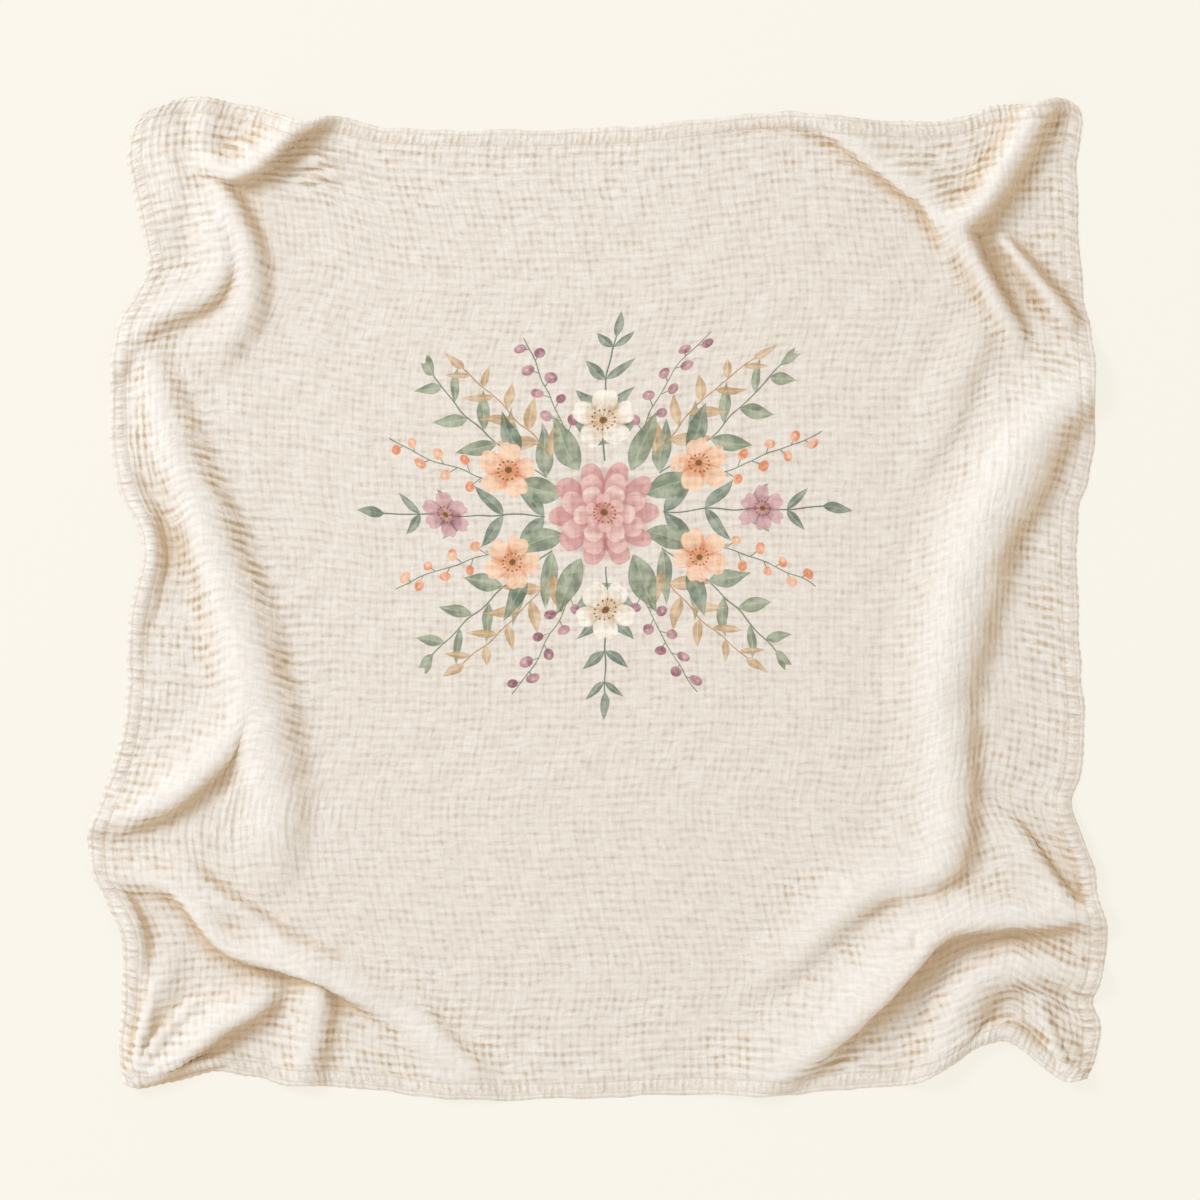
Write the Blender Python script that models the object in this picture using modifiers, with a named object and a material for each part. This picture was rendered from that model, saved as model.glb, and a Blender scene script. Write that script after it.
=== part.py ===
"""Swaddle blanket: one square of crinkled muslin that lies on a flat surface, its sides gathered into folds.

Places are in millimetres from the middle of the blanket, x to the right and y to the top of the print, and
heights are above the surface that it lies on. The finished mesh is in metres, with its origin on that
surface, under the middle of the blanket.
"""

import bpy
import numpy as np

# Driving sizes, in millimetres.
MIDDLE = (-1.6, 1.2)
CLOTH_THICKNESS = 2.0
HEM_THICKNESS = 3.0
HEM_WIDTH = 18.0
LEAN_SHARE = 0.85

# How the surface is sampled.
GRID_LINES = 161
CURVE_STEPS = 10
EDGE_FADE = 4.0
BLEND_POWER = 3.0
SOFT_RADIUS = 5.0
FULL_LEAN = 8.0
EVENING_ROUNDS = 3
MOST_TRIANGLES = 5600

# Sections of a fold's flank, as the powers (root, whole) of the height (1 - part**root) ** whole, where part is
# how far down the flank a place is.
ROUNDED_FLANK = (2.0, 2.0)
BULGING_FLANK = (2.4, 1.4)
EASING_FLANK = (1.5, 2.0)

# The hem's outer edge as (x, y), each side from left to right or from top to bottom.
TOP_EDGE = (
    (-457, 486), (-435, 497), (-410, 502), (-385, 501), (-345, 493), (-305, 485), (-278, 487),
    (-255, 482), (-215, 473), (-160, 470), (-60, 470), (40, 474), (100, 481), (160, 489), (210, 491),
    (250, 486), (290, 479), (335, 479), (362, 483), (390, 493), (430, 497), (462, 501), (478, 494),
)
BOTTOM_EDGE = (
    (-476, -482), (-458, -488), (-425, -481), (-385, -472), (-345, -477), (-310, -485), (-265, -486),
    (-210, -492), (-160, -498), (-110, -500), (-10, -498), (90, -494), (190, -494), (250, -489),
    (300, -486), (335, -473), (365, -454), (390, -443), (405, -440), (420, -449), (442, -467),
    (465, -480), (485, -479),
)
LEFT_EDGE = (
    (-457, 486), (-469, 465), (-472, 435), (-464, 400), (-455, 355), (-452, 330), (-467, 302),
    (-483, 275), (-489, 240), (-490, 180), (-487, 135), (-477, 100), (-462, 70), (-459, 40), (-466, 5),
    (-472, -30), (-473, -90), (-478, -130), (-488, -170), (-502, -205), (-512, -235), (-508, -272),
    (-494, -305), (-480, -340), (-477, -390), (-481, -445), (-476, -482),
)
RIGHT_EDGE = (
    (478, 494), (483, 475), (477, 440), (478, 390), (481, 330), (485, 295), (492, 260), (493, 210),
    (494, 155), (488, 120), (479, 90), (477, 40), (479, -30), (482, -85), (485, -125), (480, -175),
    (472, -200), (478, -228), (492, -262), (499, -300), (507, -335), (503, -372), (493, -400),
    (500, -422), (497, -455), (485, -479),
)

# Folds. Each row is a place on the crest: (x, y, height, left, right, lean), where left and right are how far
# the flanks reach to either side of the crest's way, and lean is how far the crest tips over to its right.
FOLDS = {
    "top_left_roll": (
        (-395, 232, 0, 34, 24, 0), (-366, 260, 11, 34, 26, 4), (-346, 282, 15, 30, 28, 6),
        (-338, 308, 18, 26, 26, 6), (-343, 336, 20, 26, 24, 7), (-356, 364, 24, 28, 22, 9),
        (-370, 392, 30, 34, 22, 12), (-368, 418, 34, 40, 22, 15), (-342, 440, 34, 42, 22, 16),
        (-316, 462, 30, 42, 22, 15), (-296, 486, 25, 42, 22, 12), (-280, 514, 20, 40, 22, 8),
    ),
    "top_left_cheek": (
        (-504, 215, 8, 24, 16, 0), (-478, 244, 10, 26, 18, 2), (-462, 272, 14, 30, 20, 4),
        (-442, 292, 16, 36, 20, 5), (-418, 303, 18, 40, 20, 6), (-394, 316, 20, 44, 20, 7),
        (-384, 338, 21, 44, 20, 7), (-388, 365, 20, 40, 20, 5), (-402, 400, 14, 34, 20, 2),
        (-414, 428, 0, 30, 20, 0),
    ),
    "top_left_ray": (
        (-397, 516, 14, 26, 26, 0), (-396, 488, 14, 26, 26, 0), (-393, 460, 14, 26, 26, 0),
        (-382, 434, 14, 24, 24, 0), (-364, 416, 10, 20, 20, 0),
    ),
    "left_long_ridge": (
        (-330, -300, 0, 44, 34, 0), (-323, -250, 14, 48, 36, 0), (-323, -200, 20, 52, 38, 2),
        (-327, -150, 23, 56, 38, 3), (-335, -100, 24, 60, 38, 4), (-347, -50, 24, 60, 36, 4),
        (-363, 0, 23, 56, 34, 4), (-383, 50, 22, 50, 32, 4), (-400, 100, 21, 44, 30, 4),
        (-422, 150, 20, 36, 28, 4), (-437, 198, 17, 30, 26, 3), (-444, 228, 13, 26, 24, 2),
        (-452, 262, 0, 24, 20, 0),
    ),
    "left_hem_hump": (
        (-468, -70, 0, 14, 16, 0), (-464, -30, 4, 14, 20, 0), (-454, 8, 9, 16, 28, 2),
        (-448, 40, 12, 18, 34, 4), (-452, 72, 12, 18, 30, 4), (-470, 112, 8, 16, 24, 2),
        (-482, 160, 0, 14, 22, 0),
    ),
    "left_low_diagonal": (
        (-520, -220, 14, 30, 22, 2), (-482, -214, 17, 34, 22, 5), (-452, -202, 20, 38, 22, 7),
        (-424, -184, 22, 42, 22, 8), (-400, -163, 22, 44, 20, 8), (-375, -140, 20, 44, 20, 7),
        (-356, -118, 14, 42, 18, 5), (-344, -94, 0, 40, 14, 0),
    ),
    "bottom_left_flap": (
        (-520, -272, 10, 26, 20, 2), (-482, -276, 13, 24, 18, 4), (-450, -276, 15, 20, 16, 5),
        (-424, -282, 18, 22, 16, 6), (-395, -308, 21, 25, 16, 8), (-376, -333, 23, 28, 15, 9),
        (-348, -348, 24, 30, 15, 10), (-317, -357, 25, 28, 14, 11), (-288, -370, 25, 28, 14, 12),
        (-258, -388, 22, 34, 16, 10), (-224, -408, 17, 40, 18, 7), (-195, -432, 13, 40, 18, 4),
        (-165, -466, 9, 36, 20, 0), (-145, -510, 6, 34, 20, 0),
    ),
    "bottom_left_flap_end": (
        (-212, -368, 0, 22, 40, 0), (-188, -392, 6, 20, 40, -2), (-168, -418, 10, 20, 40, -3),
        (-150, -444, 11, 20, 36, -3), (-134, -474, 9, 20, 30, -2), (-120, -512, 7, 20, 26, 0),
    ),
    "bottom_left_corner_fold": (
        (-488, -496, 8, 24, 14, 0), (-463, -476, 12, 26, 14, 4), (-435, -456, 18, 30, 16, 8),
        (-408, -436, 22, 34, 18, 9), (-384, -418, 24, 36, 18, 9), (-360, -405, 23, 34, 18, 8),
        (-338, -393, 18, 28, 18, 6), (-314, -384, 0, 20, 16, 0),
    ),
    "bottom_left_upright": (
        (-306, -510, 12, 32, 30, 2), (-298, -452, 15, 32, 28, 4), (-291, -420, 17, 30, 25, 5),
        (-288, -392, 18, 28, 24, 5), (-290, -360, 12, 26, 26, 0),
    ),
    "left_low_hem_hump": (
        (-460, -395, 0, 12, 14, 0), (-462, -368, 8, 14, 16, 2), (-469, -342, 14, 16, 18, 5),
        (-479, -315, 14, 16, 18, 5), (-492, -288, 10, 16, 16, 3), (-502, -260, 0, 14, 14, 0),
    ),
    "bottom_left_ray": (
        (-478, -500, 7, 20, 24, 0), (-466, -466, 9, 20, 24, 0), (-450, -418, 9, 20, 26, 0),
        (-436, -372, 8, 22, 26, 0), (-424, -335, 0, 20, 24, 0),
    ),
    "top_edge_flap": (
        (90, 474, 0, 16, 12, 0), (145, 482, 7, 14, 13, 2), (200, 484, 11, 20, 14, 4),
        (238, 474, 15, 28, 15, 7), (272, 450, 17, 32, 15, 9), (304, 426, 18, 32, 15, 9),
        (332, 406, 20, 28, 16, 9), (348, 380, 22, 24, 18, 7), (352, 354, 14, 20, 18, 2),
        (348, 328, 0, 16, 16, 0),
    ),
    "top_right_roll": (
        (440, 246, 0, 24, 18, 0), (428, 268, 12, 26, 20, 3), (410, 298, 20, 28, 20, 6),
        (390, 326, 23, 28, 20, 7), (370, 348, 25, 26, 20, 7), (356, 366, 27, 26, 22, 8),
        (362, 387, 29, 30, 24, 9), (376, 408, 30, 32, 25, 10), (388, 432, 30, 34, 25, 11),
        (400, 456, 29, 36, 24, 11), (418, 479, 25, 34, 22, 10), (446, 492, 20, 28, 20, 7),
        (474, 512, 16, 26, 18, 3),
    ),
    "top_right_branch": (
        (398, 374, 0, 14, 16, 0), (416, 356, 14, 14, 22, 0), (436, 334, 18, 16, 26, -2),
        (458, 308, 19, 20, 28, -2), (482, 280, 16, 26, 30, 0), (512, 254, 12, 30, 30, 0),
    ),
    "right_inner_ripple": (
        (320, 114, 0, 36, 24, 0), (336, 162, 6, 38, 26, 1),
        (352, 204, 8, 38, 26, 2), (370, 248, 7, 34, 24, 2),
        (390, 290, 0, 30, 20, 0),
    ),
    "right_long_ridge": (
        (200, -366, 0, 40, 20, 0), (235, -352, 5, 44, 22, 1), (264, -330, 10, 48, 22, 3),
        (286, -306, 13, 50, 22, 4), (312, -290, 15, 56, 24, 4), (340, -274, 18, 66, 26, 4),
        (355, -245, 21, 68, 26, 5), (358, -205, 22, 64, 26, 6), (354, -165, 22, 60, 28, 6),
        (349, -125, 21, 56, 30, 6), (354, -90, 22, 54, 28, 6), (363, -50, 23, 54, 28, 6),
        (373, -15, 23, 54, 28, 6), (380, 20, 23, 54, 28, 6), (390, 55, 23, 56, 30, 7),
        (404, 90, 23, 56, 32, 7), (422, 125, 22, 56, 34, 7), (442, 160, 20, 58, 34, 6),
        (470, 196, 17, 60, 32, 4), (520, 228, 14, 60, 30, 2),
    ),
    "right_low_flap": (
        (382, -190, 0, 12, 30, 0), (400, -210, 10, 14, 34, -5), (420, -238, 14, 14, 36, -6),
        (442, -268, 15, 14, 34, -6), (462, -296, 14, 14, 28, -5), (486, -314, 13, 16, 22, -2),
        (525, -322, 10, 18, 20, 0),
    ),
    "bottom_right_roll": (
        (170, -520, 10, 60, 22, 2), (200, -480, 13, 62, 24, 5), (232, -442, 20, 62, 26, 11),
        (258, -414, 26, 60, 28, 15), (284, -388, 30, 58, 30, 17), (308, -362, 31, 56, 30, 17),
        (332, -338, 30, 50, 28, 15), (358, -324, 27, 44, 24, 12), (390, -318, 24, 40, 20, 9),
        (428, -317, 21, 38, 18, 8), (464, -317, 17, 30, 16, 6), (490, -310, 13, 20, 16, 3),
        (525, -296, 10, 18, 16, 0),
    ),
    "bottom_right_mound": (
        (315, -520, 12, 24, 44, 0), (326, -472, 15, 26, 46, 2), (338, -434, 18, 26, 46, 4),
        (350, -400, 20, 26, 44, 5), (372, -374, 20, 24, 40, 5), (404, -360, 19, 22, 40, 4),
        (442, -360, 17, 20, 36, 3), (474, -370, 14, 20, 30, 2), (515, -385, 10, 20, 26, 0),
    ),
    "bottom_right_corner_ray": (
        (490, -504, 14, 16, 16, 0), (472, -474, 15, 16, 18, 0), (458, -446, 15, 18, 20, 0),
        (444, -416, 11, 18, 20, 0), (432, -384, 0, 18, 18, 0),
    ),
    "bottom_right_notch_hem": (
        (350, -458, 6, 12, 18, 0), (384, -436, 10, 14, 18, 0), (406, -432, 12, 16, 16, 0),
        (426, -446, 12, 16, 16, 0), (450, -468, 12, 18, 18, 0), (478, -492, 12, 18, 18, 0),
    ),
}


def curve_through(rows):
    """Catmull-Rom curve through the rows of a table, with every column carried along."""
    knots = np.array(rows, float)
    knots = np.vstack([2 * knots[0] - knots[1], knots, 2 * knots[-1] - knots[-2]])
    step = np.arange(CURVE_STEPS)[:, None] / CURVE_STEPS
    pieces = []
    for before, start, end, after in zip(knots, knots[1:], knots[2:], knots[3:]):
        slope = (end - before) * step
        square = (2 * before - 5 * start + 4 * end - after) * step**2
        cube = (3 * start - before - 3 * end + after) * step**3
        pieces.append(start + 0.5 * (slope + square + cube))
    return np.vstack(pieces + [knots[-2:-1]])


def along_edge(rows, share):
    """Points of an edge at the given shares of its length."""
    line = curve_through(rows)
    gone = np.concatenate([[0], np.cumsum(np.linalg.norm(np.diff(line, axis=0), axis=1))])
    return np.stack([np.interp(share * gone[-1], gone, line[:, k]) for k in (0, 1)], axis=-1)


def spread_flat(across, down):
    """Places on the flat for the cloth's points, before any fold lifts them."""
    across, down = across[..., None], down[..., None]
    corners = [np.array(rows[end], float) for rows in (TOP_EDGE, BOTTOM_EDGE) for end in (0, -1)]
    top = corners[0] * (1 - across) + corners[1] * across
    bottom = corners[2] * (1 - across) + corners[3] * across
    place = top * (1 - down) + bottom * down
    for rows, share, fade in (
        (TOP_EDGE, across, 1 - down),
        (BOTTOM_EDGE, across, down),
        (LEFT_EDGE, down, 1 - across),
        (RIGHT_EDGE, down, across),
    ):
        chord = np.array(rows[0], float) * (1 - share) + np.array(rows[-1], float) * share
        place = place + (along_edge(rows, share[..., 0]) - chord) * fade**EDGE_FADE
    return place


def fold_at(rows, place):
    """Lift and sideways shift that one fold gives to each place."""
    line = curve_through(rows)
    reach = line[:, 3:5].max()
    near = np.all((place > line[:, :2].min(0) - reach) & (place < line[:, :2].max(0) + reach), axis=1)
    lift, shift = np.zeros(len(place)), np.zeros((len(place), 2))
    if not near.any():
        return lift, shift
    start, run = line[:-1], np.diff(line, axis=0)
    away = place[near][:, None] - start[:, :2]
    share = np.clip((away * run[:, :2]).sum(-1) / (run[:, :2] ** 2).sum(-1), 0, 1)
    away = away - share[..., None] * run[:, :2]
    nearest = (away**2).sum(-1).argmin(1)
    every = np.arange(len(nearest))
    share, away = share[every, nearest], away[every, nearest]
    height, left, right, lean = (start[nearest] + share[:, None] * run[nearest])[:, 2:].T
    way = np.gradient(line[:, :2], axis=0)
    way = way[nearest] * (1 - share[:, None]) + way[nearest + 1] * share[:, None]
    way /= np.linalg.norm(way, axis=1, keepdims=True)
    rightward = np.stack([way[:, 1], -way[:, 0]], axis=1)
    on_right = (away * rightward).sum(1) > 0
    flank = np.where(on_right, right, left)
    part = np.clip(np.linalg.norm(away, axis=1) / flank, 0, 1)
    overhangs = np.clip(lean / FULL_LEAN, -1, 1) * np.where(on_right, 1, -1)
    rounded, bulging, easing = (
        (1 - part**root) ** whole for root, whole in (ROUNDED_FLANK, BULGING_FLANK, EASING_FLANK)
    )
    change = np.where(overhangs > 0, bulging - rounded, rounded - easing)
    profile = rounded + overhangs * change
    lift[near] = np.maximum(height, 0) * profile
    shift[near] = LEAN_SHARE * (lean * profile)[:, None] * rightward
    return lift, shift


def lay(place):
    """Points of the cloth's underside, in millimetres, for places on the flat."""
    flat = place.reshape(-1, 2)
    total, shift = np.zeros(len(flat)), np.zeros((len(flat), 2))
    for rows in FOLDS.values():
        lift, sideways = fold_at(rows, flat)
        weight = lift**BLEND_POWER
        total += weight
        shift += weight[:, None] * sideways
    lifted = total > 0
    shift[lifted] /= total[lifted, None]
    folded = np.column_stack([shift, total ** (1 / BLEND_POWER)]).reshape(*place.shape[:-1], 3)
    folded = soften(folded, place)
    folded[..., :2] += place
    return folded


def soften(folded, place):
    """The folds rounded off by averaging neighbours along both ways of the grid."""
    step = np.linalg.norm(place[0, -1] - place[0, 0]) / (len(place) - 1)
    for _ in range(max(1, round(2 * (SOFT_RADIUS / step) ** 2))):
        for axis in (0, 1):
            ends = [(1, 1) if axis == k else (0, 0) for k in (0, 1)] + [(0, 0)]
            wide = np.pad(folded, ends, mode="edge")
            before, after = (wide[:-2], wide[2:]) if axis == 0 else (wide[:, :-2], wide[:, 2:])
            folded = folded / 2 + (before + after) / 4
    return folded


def even_out(share, points, axis):
    """Shares moved along their grid lines so that neighbouring points lie the same length of cloth apart."""
    share, points = np.moveaxis(share, axis, -1), np.moveaxis(points, axis, -2)
    length = np.linalg.norm(np.diff(points, axis=-2), axis=-1)
    gone = np.concatenate([np.zeros((len(length), 1)), np.cumsum(length, axis=-1)], axis=-1)
    even = np.linspace(0, 1, share.shape[-1])
    moved = np.array([np.interp(even * g[-1], g, s) for g, s in zip(gone, share)])
    return np.moveaxis(moved, -1, axis)


def drape(lines):
    """Points of a square grid of the cloth, evened out over its folds."""
    even = np.linspace(0, 1, lines)
    across, down = np.meshgrid(even, even)
    for _ in range(EVENING_ROUNDS):
        points = lay(spread_flat(across, down))
        across, down = even_out(across, points, 1), even_out(down, points, 0)
    return lay(spread_flat(across, down))


def sheet_mesh(name, points):
    """An open grid of faces through the points, facing up, in metres."""
    rows, columns = points.shape[:2]
    place = points - (*MIDDLE, 0)
    number = np.arange(rows * columns).reshape(rows, columns)
    corners = (number[1:, :-1], number[1:, 1:], number[:-1, 1:], number[:-1, :-1])
    faces = np.stack(corners, axis=-1).reshape(-1, 4)
    mesh = bpy.data.meshes.new(name)
    mesh.from_pydata((place.reshape(-1, 3) / 1000).tolist(), [], faces.tolist())
    mesh.update()
    return mesh


def muslin():
    """The cloth's material: warm natural cotton, matt."""
    material = bpy.data.materials.new("natural_muslin")
    material.use_nodes = True
    shader = material.node_tree.nodes["Principled BSDF"]
    shader.inputs["Base Color"].default_value = (0.82, 0.74, 0.64, 1)
    shader.inputs["Roughness"].default_value = 0.95
    shader.inputs["Metallic"].default_value = 0.0
    return material


def thinned(points):
    """An open mesh of the cloth's underside, with few faces where it is flat."""
    grid = bpy.data.objects.new("grid", sheet_mesh("grid", points))
    bpy.context.scene.collection.objects.link(grid)
    thin_out = grid.modifiers.new("thin_out", "DECIMATE")
    thin_out.ratio = MOST_TRIANGLES / (2 * (len(points) - 1) ** 2)
    mesh = bpy.data.meshes.new_from_object(grid.evaluated_get(bpy.context.evaluated_depsgraph_get()))
    bpy.data.objects.remove(grid)
    for vertex in mesh.vertices:
        vertex.co.z = max(vertex.co.z, 0)
    return mesh


def hem_weights(blanket):
    """A vertex group that gives the hem its full thickness, and the rest the cloth's share of it."""
    place = np.array([vertex.co[:] for vertex in blanket.data.vertices])
    rim = np.unique([edge for edge, uses in edge_uses(blanket.data).items() if uses == 1])
    to_rim = np.linalg.norm(place[:, None] - place[rim], axis=-1).min(1) * 1000
    group = blanket.vertex_groups.new(name="hem")
    group.add(np.flatnonzero(to_rim < HEM_WIDTH).tolist(), 1.0, "REPLACE")
    group.add(np.flatnonzero(to_rim >= HEM_WIDTH).tolist(), CLOTH_THICKNESS / HEM_THICKNESS, "REPLACE")
    return group.name


def edge_uses(mesh):
    """How many faces share each edge of a mesh."""
    uses = {}
    for face in mesh.polygons:
        for edge in face.edge_keys:
            uses[edge] = uses.get(edge, 0) + 1
    return uses


def build_blanket(collection):
    """The blanket as one closed sheet, thicker along its hem."""
    blanket = bpy.data.objects.new("muslin_cloth", thinned(drape(GRID_LINES)))
    blanket.data.name = "muslin_cloth"
    blanket.data.materials.append(muslin())
    collection.objects.link(blanket)
    thicken = blanket.modifiers.new("thicken", "SOLIDIFY")
    thicken.thickness = HEM_THICKNESS / 1000
    thicken.offset = 1
    thicken.vertex_group = hem_weights(blanket)
    return blanket


def main():
    for old in list(bpy.data.objects):
        bpy.data.objects.remove(old)
    collection = bpy.data.collections.new("swaddle_blanket")
    bpy.context.scene.collection.children.link(collection)
    build_blanket(collection)


main()
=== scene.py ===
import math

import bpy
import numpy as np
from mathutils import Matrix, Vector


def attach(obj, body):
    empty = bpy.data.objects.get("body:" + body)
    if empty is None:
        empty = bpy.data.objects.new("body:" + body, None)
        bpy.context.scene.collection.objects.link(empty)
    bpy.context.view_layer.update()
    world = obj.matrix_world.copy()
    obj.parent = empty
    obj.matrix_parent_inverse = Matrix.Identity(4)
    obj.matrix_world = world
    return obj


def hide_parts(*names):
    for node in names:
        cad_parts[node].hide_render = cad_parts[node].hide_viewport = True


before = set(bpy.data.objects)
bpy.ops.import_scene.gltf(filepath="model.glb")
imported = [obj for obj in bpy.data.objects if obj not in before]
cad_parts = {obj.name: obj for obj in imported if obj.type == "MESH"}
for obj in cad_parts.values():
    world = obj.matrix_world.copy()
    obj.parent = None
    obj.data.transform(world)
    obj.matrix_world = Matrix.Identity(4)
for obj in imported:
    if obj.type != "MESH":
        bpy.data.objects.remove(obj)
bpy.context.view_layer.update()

# Looks of the swaddle blanket: one square of crinkled double gauze with a turned, stitched hem and a
# printed posy. Places are in millimetres from the middle of the blanket, x to the right and y to the top
# of the print, and heights are above the surface that it lies on. "across" and "down" are shares of the
# cloth's width and depth, and "flat" places are millimetres along the cloth from the print's middle.

# Driving sizes, in millimetres.
MIDDLE = (-1.6, 1.2)
CLOTH_LENGTH = 1020.0
CLOTH_THICKNESS = 2.0
ROW_PITCH = 9.2
COLUMN_PITCH = 7.8
ROW_RISE = 2.2
COLUMN_RISE = 1.2
SWELL_RISE = 0.9
HEM_STITCH_LINES = (5.0, 16.5)
HEM_INSIDE = (17, 24)
TUCK_PITCH = 6.4
PRINT_MIDDLE = (6.0, 85.0)
PRINT_REACH = (262.0, 226.0)

# How folds move the cloth sideways: a share of their lean, and for the folds named here a share of their
# height along their crest. The second sets in over some distances inwards from the edge's usual place.
LEAN_SHARE = 1.2
DRAG_SHARES = {"left_long_ridge": 0.9, "top_left_drop": 0.4, "top_right_roll": 0.3}
EDGE_PLACE = 480.0
DRAG_FADE = (20, 90)

# How gathered the cloth is: its plain share, what each of these adds to it, how far edges and corners
# reach, and its limits.
GATHERED = {
    "plain": 0.15, "edge": 0.27, "corner": 0.16, "steep": 0.38, "hollow": 0.35, "crest": -0.45,
    "drawn": 0.25,
}
EDGE_REACH = 95
CORNER_REACH = 130
GATHER_LIMITS = (0.06, 1.0)

# How the surface is sampled.
FIELD_LINES = 401
CURVE_STEPS = 10
GAP_SAMPLES = 4001
FOLD_MARGIN = 10
CREASE_REACH = 3
EDGE_FADE = 4.0
BLEND_POWER = 3.0
SOFT_RADIUS = 4.0
FULL_LEAN = 8.0
EVENING_ROUNDS = 3
SHARING_ROUNDS = 240
UNDERSIDE_STEP = 3
BROAD_ROUNDS = 24
FINE_ROUNDS = 6
SHELTER_CELL = 3.2
SHELTER_WAYS = 12
SHELTER_REACHES = (4, 7, 11, 16, 22)

# The most that shelter reaches, and how much cloth rising between a point and the lamp adds to it. The
# material paints shade by this shelter.
MOST_SHELTER = 1.2
LAMP_SHADE = 0.35

# What each point of the cloth knows for its material: how gathered it is, how shut in by folds and hidden
# from the lamp (which drives painted shade), how far it is the crest of a fold (which drives a painted
# highlight), its distance from the edge, whether that edge is an upright one, and how much its crinkle is
# drawn into upright streaks or, below nought, into level ribs.
FACTS = ("gather", "shelter", "crest", "to_edge", "upright", "drawn")

# Soft spots where the crinkle is drawn into upright streaks or, where the share is below nought, into level
# ribs: (x, y, reach across, reach down, share).
DRAWN = (
    (415, 130, 34, 60, 0.9), (386, 20, 30, 80, 1.0), (366, -110, 30, 100, 1.0), (362, -240, 26, 60, 0.7),
    (-340, -215, 90, 50, 1.0), (-455, 150, 30, 100, 0.7), (405, 430, 34, 50, 0.6), (-430, 440, 30, 50, 0.5),
    (235, -470, 70, 30, -0.6), (-398, 140, 28, 55, -0.6), (-352, 40, 32, 65, -0.75),
    (-318, -85, 32, 80, -0.75), (-285, 428, 50, 24, -0.8), (-400, 385, 44, 28, -0.5),
    (325, 428, 60, 34, -0.7), (462, 225, 26, 40, -0.5), (400, -400, 70, 36, -0.25),
    (440, -20, 24, 60, -0.5),
)

# Gaps between the cloth's grid lines as (distance from the nearer edge, gap), in millimetres. The columns
# of the crinkle fade out of the shape where the lines are too far apart for them.
GAPS_ACROSS = ((0, 1.55), (20, 1.65), (30, 3.0), (230, 3.1), (290, 8.5), (520, 8.5))
GAPS_DOWN = ((0, 1.55), (20, 1.65), (30, 2.75), (220, 2.9), (520, 3.1))
COLUMNS_FADE = (290, 230)

# Where the upper side, the underside and the rim lie in the baked texture, as (lower left, upper right).
BAKED_UPPER = ((0.004, 0.004), (0.896, 0.976))
BAKED_UNDER = ((0.904, 0.004), (0.996, 0.976))
BAKED_RIM = ((0.004, 0.984), (0.996, 0.996))

# The hem's section as (distance from the cloth's edge, height above the plain cloth), in millimetres.
HEM_SECTION = (
    (0.0, -1.4), (0.9, -0.1), (2.4, 0.8), (4.0, 0.7), (5.0, 0.4), (6.4, 0.8), (9.0, 1.4), (12.0, 1.3),
    (14.6, 0.7), (16.5, -0.2), (18.4, 0.3), (21.0, 0.6), (24.0, 0.3), (27.0, 0.0), (30.0, 0.0),
)

# The hem's sewing, in millimetres.
STITCH_PITCH = 3.4
STITCH_LENGTH = 2.7
THREAD_THICKNESS = 0.9
STITCH_SIDES = 6
STITCH_RINGS = 5


def tint(red, green, blue):
    """A colour given in the usual 0 to 255 steps, as the shader's linear light."""
    steps = [value / 255 for value in (red, green, blue)]
    return (*[s / 12.92 if s < 0.04045 else ((s + 0.055) / 1.055) ** 2.4 for s in steps], 1.0)


# Colours of the cloth, of the painted highlight on its crests and puffs, of the painted shade in its
# grooves and hollows, and of its sewing thread.
CLOTH_COLOUR = tint(235, 231, 226)
CLOTH_PAINTED_HIGHLIGHT = tint(246, 246, 245)
OPEN_GROOVE_PAINTED_SHADE = tint(216, 206, 193)
GATHERED_GROOVE_PAINTED_SHADE = tint(218, 199, 172)
THREAD_COLOUR = tint(232, 222, 210)
HOLLOW_PAINTED_SHADE = tint(234, 216, 192)
COTTON = (tint(212, 198, 178), tint(244, 236, 222))

# Noises over the flat cloth, which need no depth, as (grain across, grain down, detail), in cycles a
# millimetre.
FLAT_NOISE = {"noise_dimensions": "2D"}
ROW_BREAKS = (0.048, 0.12, 2.0)
COLUMN_BREAKS = (0.14, 0.044, 2.0)
THREADS_ACROSS = (0.08, 0.30, 2.0)
THREADS_DOWN = (0.30, 0.08, 2.0)
DASHES = (0.11, 0.11, 1.0)

# The print's dyes, each as (pale, deep).
SAGE = (tint(178, 190, 168), tint(116, 134, 112))
BLUE_SAGE = (tint(164, 178, 164), tint(98, 120, 106))
TAN = (tint(228, 206, 176), tint(192, 160, 120))
PEACH = (tint(254, 220, 194), tint(230, 142, 100))
CREAM = (tint(255, 252, 246), tint(212, 186, 152))
MAUVE = (tint(222, 182, 190), tint(144, 86, 110))
ROSE_SHADE = tint(186, 120, 126)
STAMEN_DYES = (tint(150, 98, 50), tint(196, 148, 88), tint(126, 88, 58))
PRINT_STRENGTH = 0.88

# How a sprig's leaves and stalks slant: the cotangent and the sine of their angle to the stem. Those on one
# side stand a share of their gap further along it than those on the other.
SLANT = (0.84, 0.77)
SIDE_STEP = 0.5

# A berry's stalk: its length at the stem's root, and how much of that is gone at its tip.
BERRY_STALK = (15.0, 8.0)

# The print's motifs, in millimetres and degrees, each for one quarter of the posy.
# Leafy sprigs: length, pairs of leaves, leaf's length, root, heading, bend, dyes.
SPRIGS = (
    (162, 4, 58, (56, 38), 33, 0.0010, SAGE),
    (168, 4, 50, (60, 0), 0, 0.0, BLUE_SAGE),
    (136, 4, 46, (0, 55), 90, 0.0, BLUE_SAGE),
    (132, 4, 44, (54, 62), 52, -0.0010, TAN),
)
# Berry sprigs: length, pairs of berries, berry's radius, root, heading, bend, dyes.
BERRY_SPRIGS = (
    (112, 4, 5.6, (38, 84), 69, -0.0012, MAUVE),
    (112, 4, 5.2, (108, 36), 15, 0.0010, PEACH),
)
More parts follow.
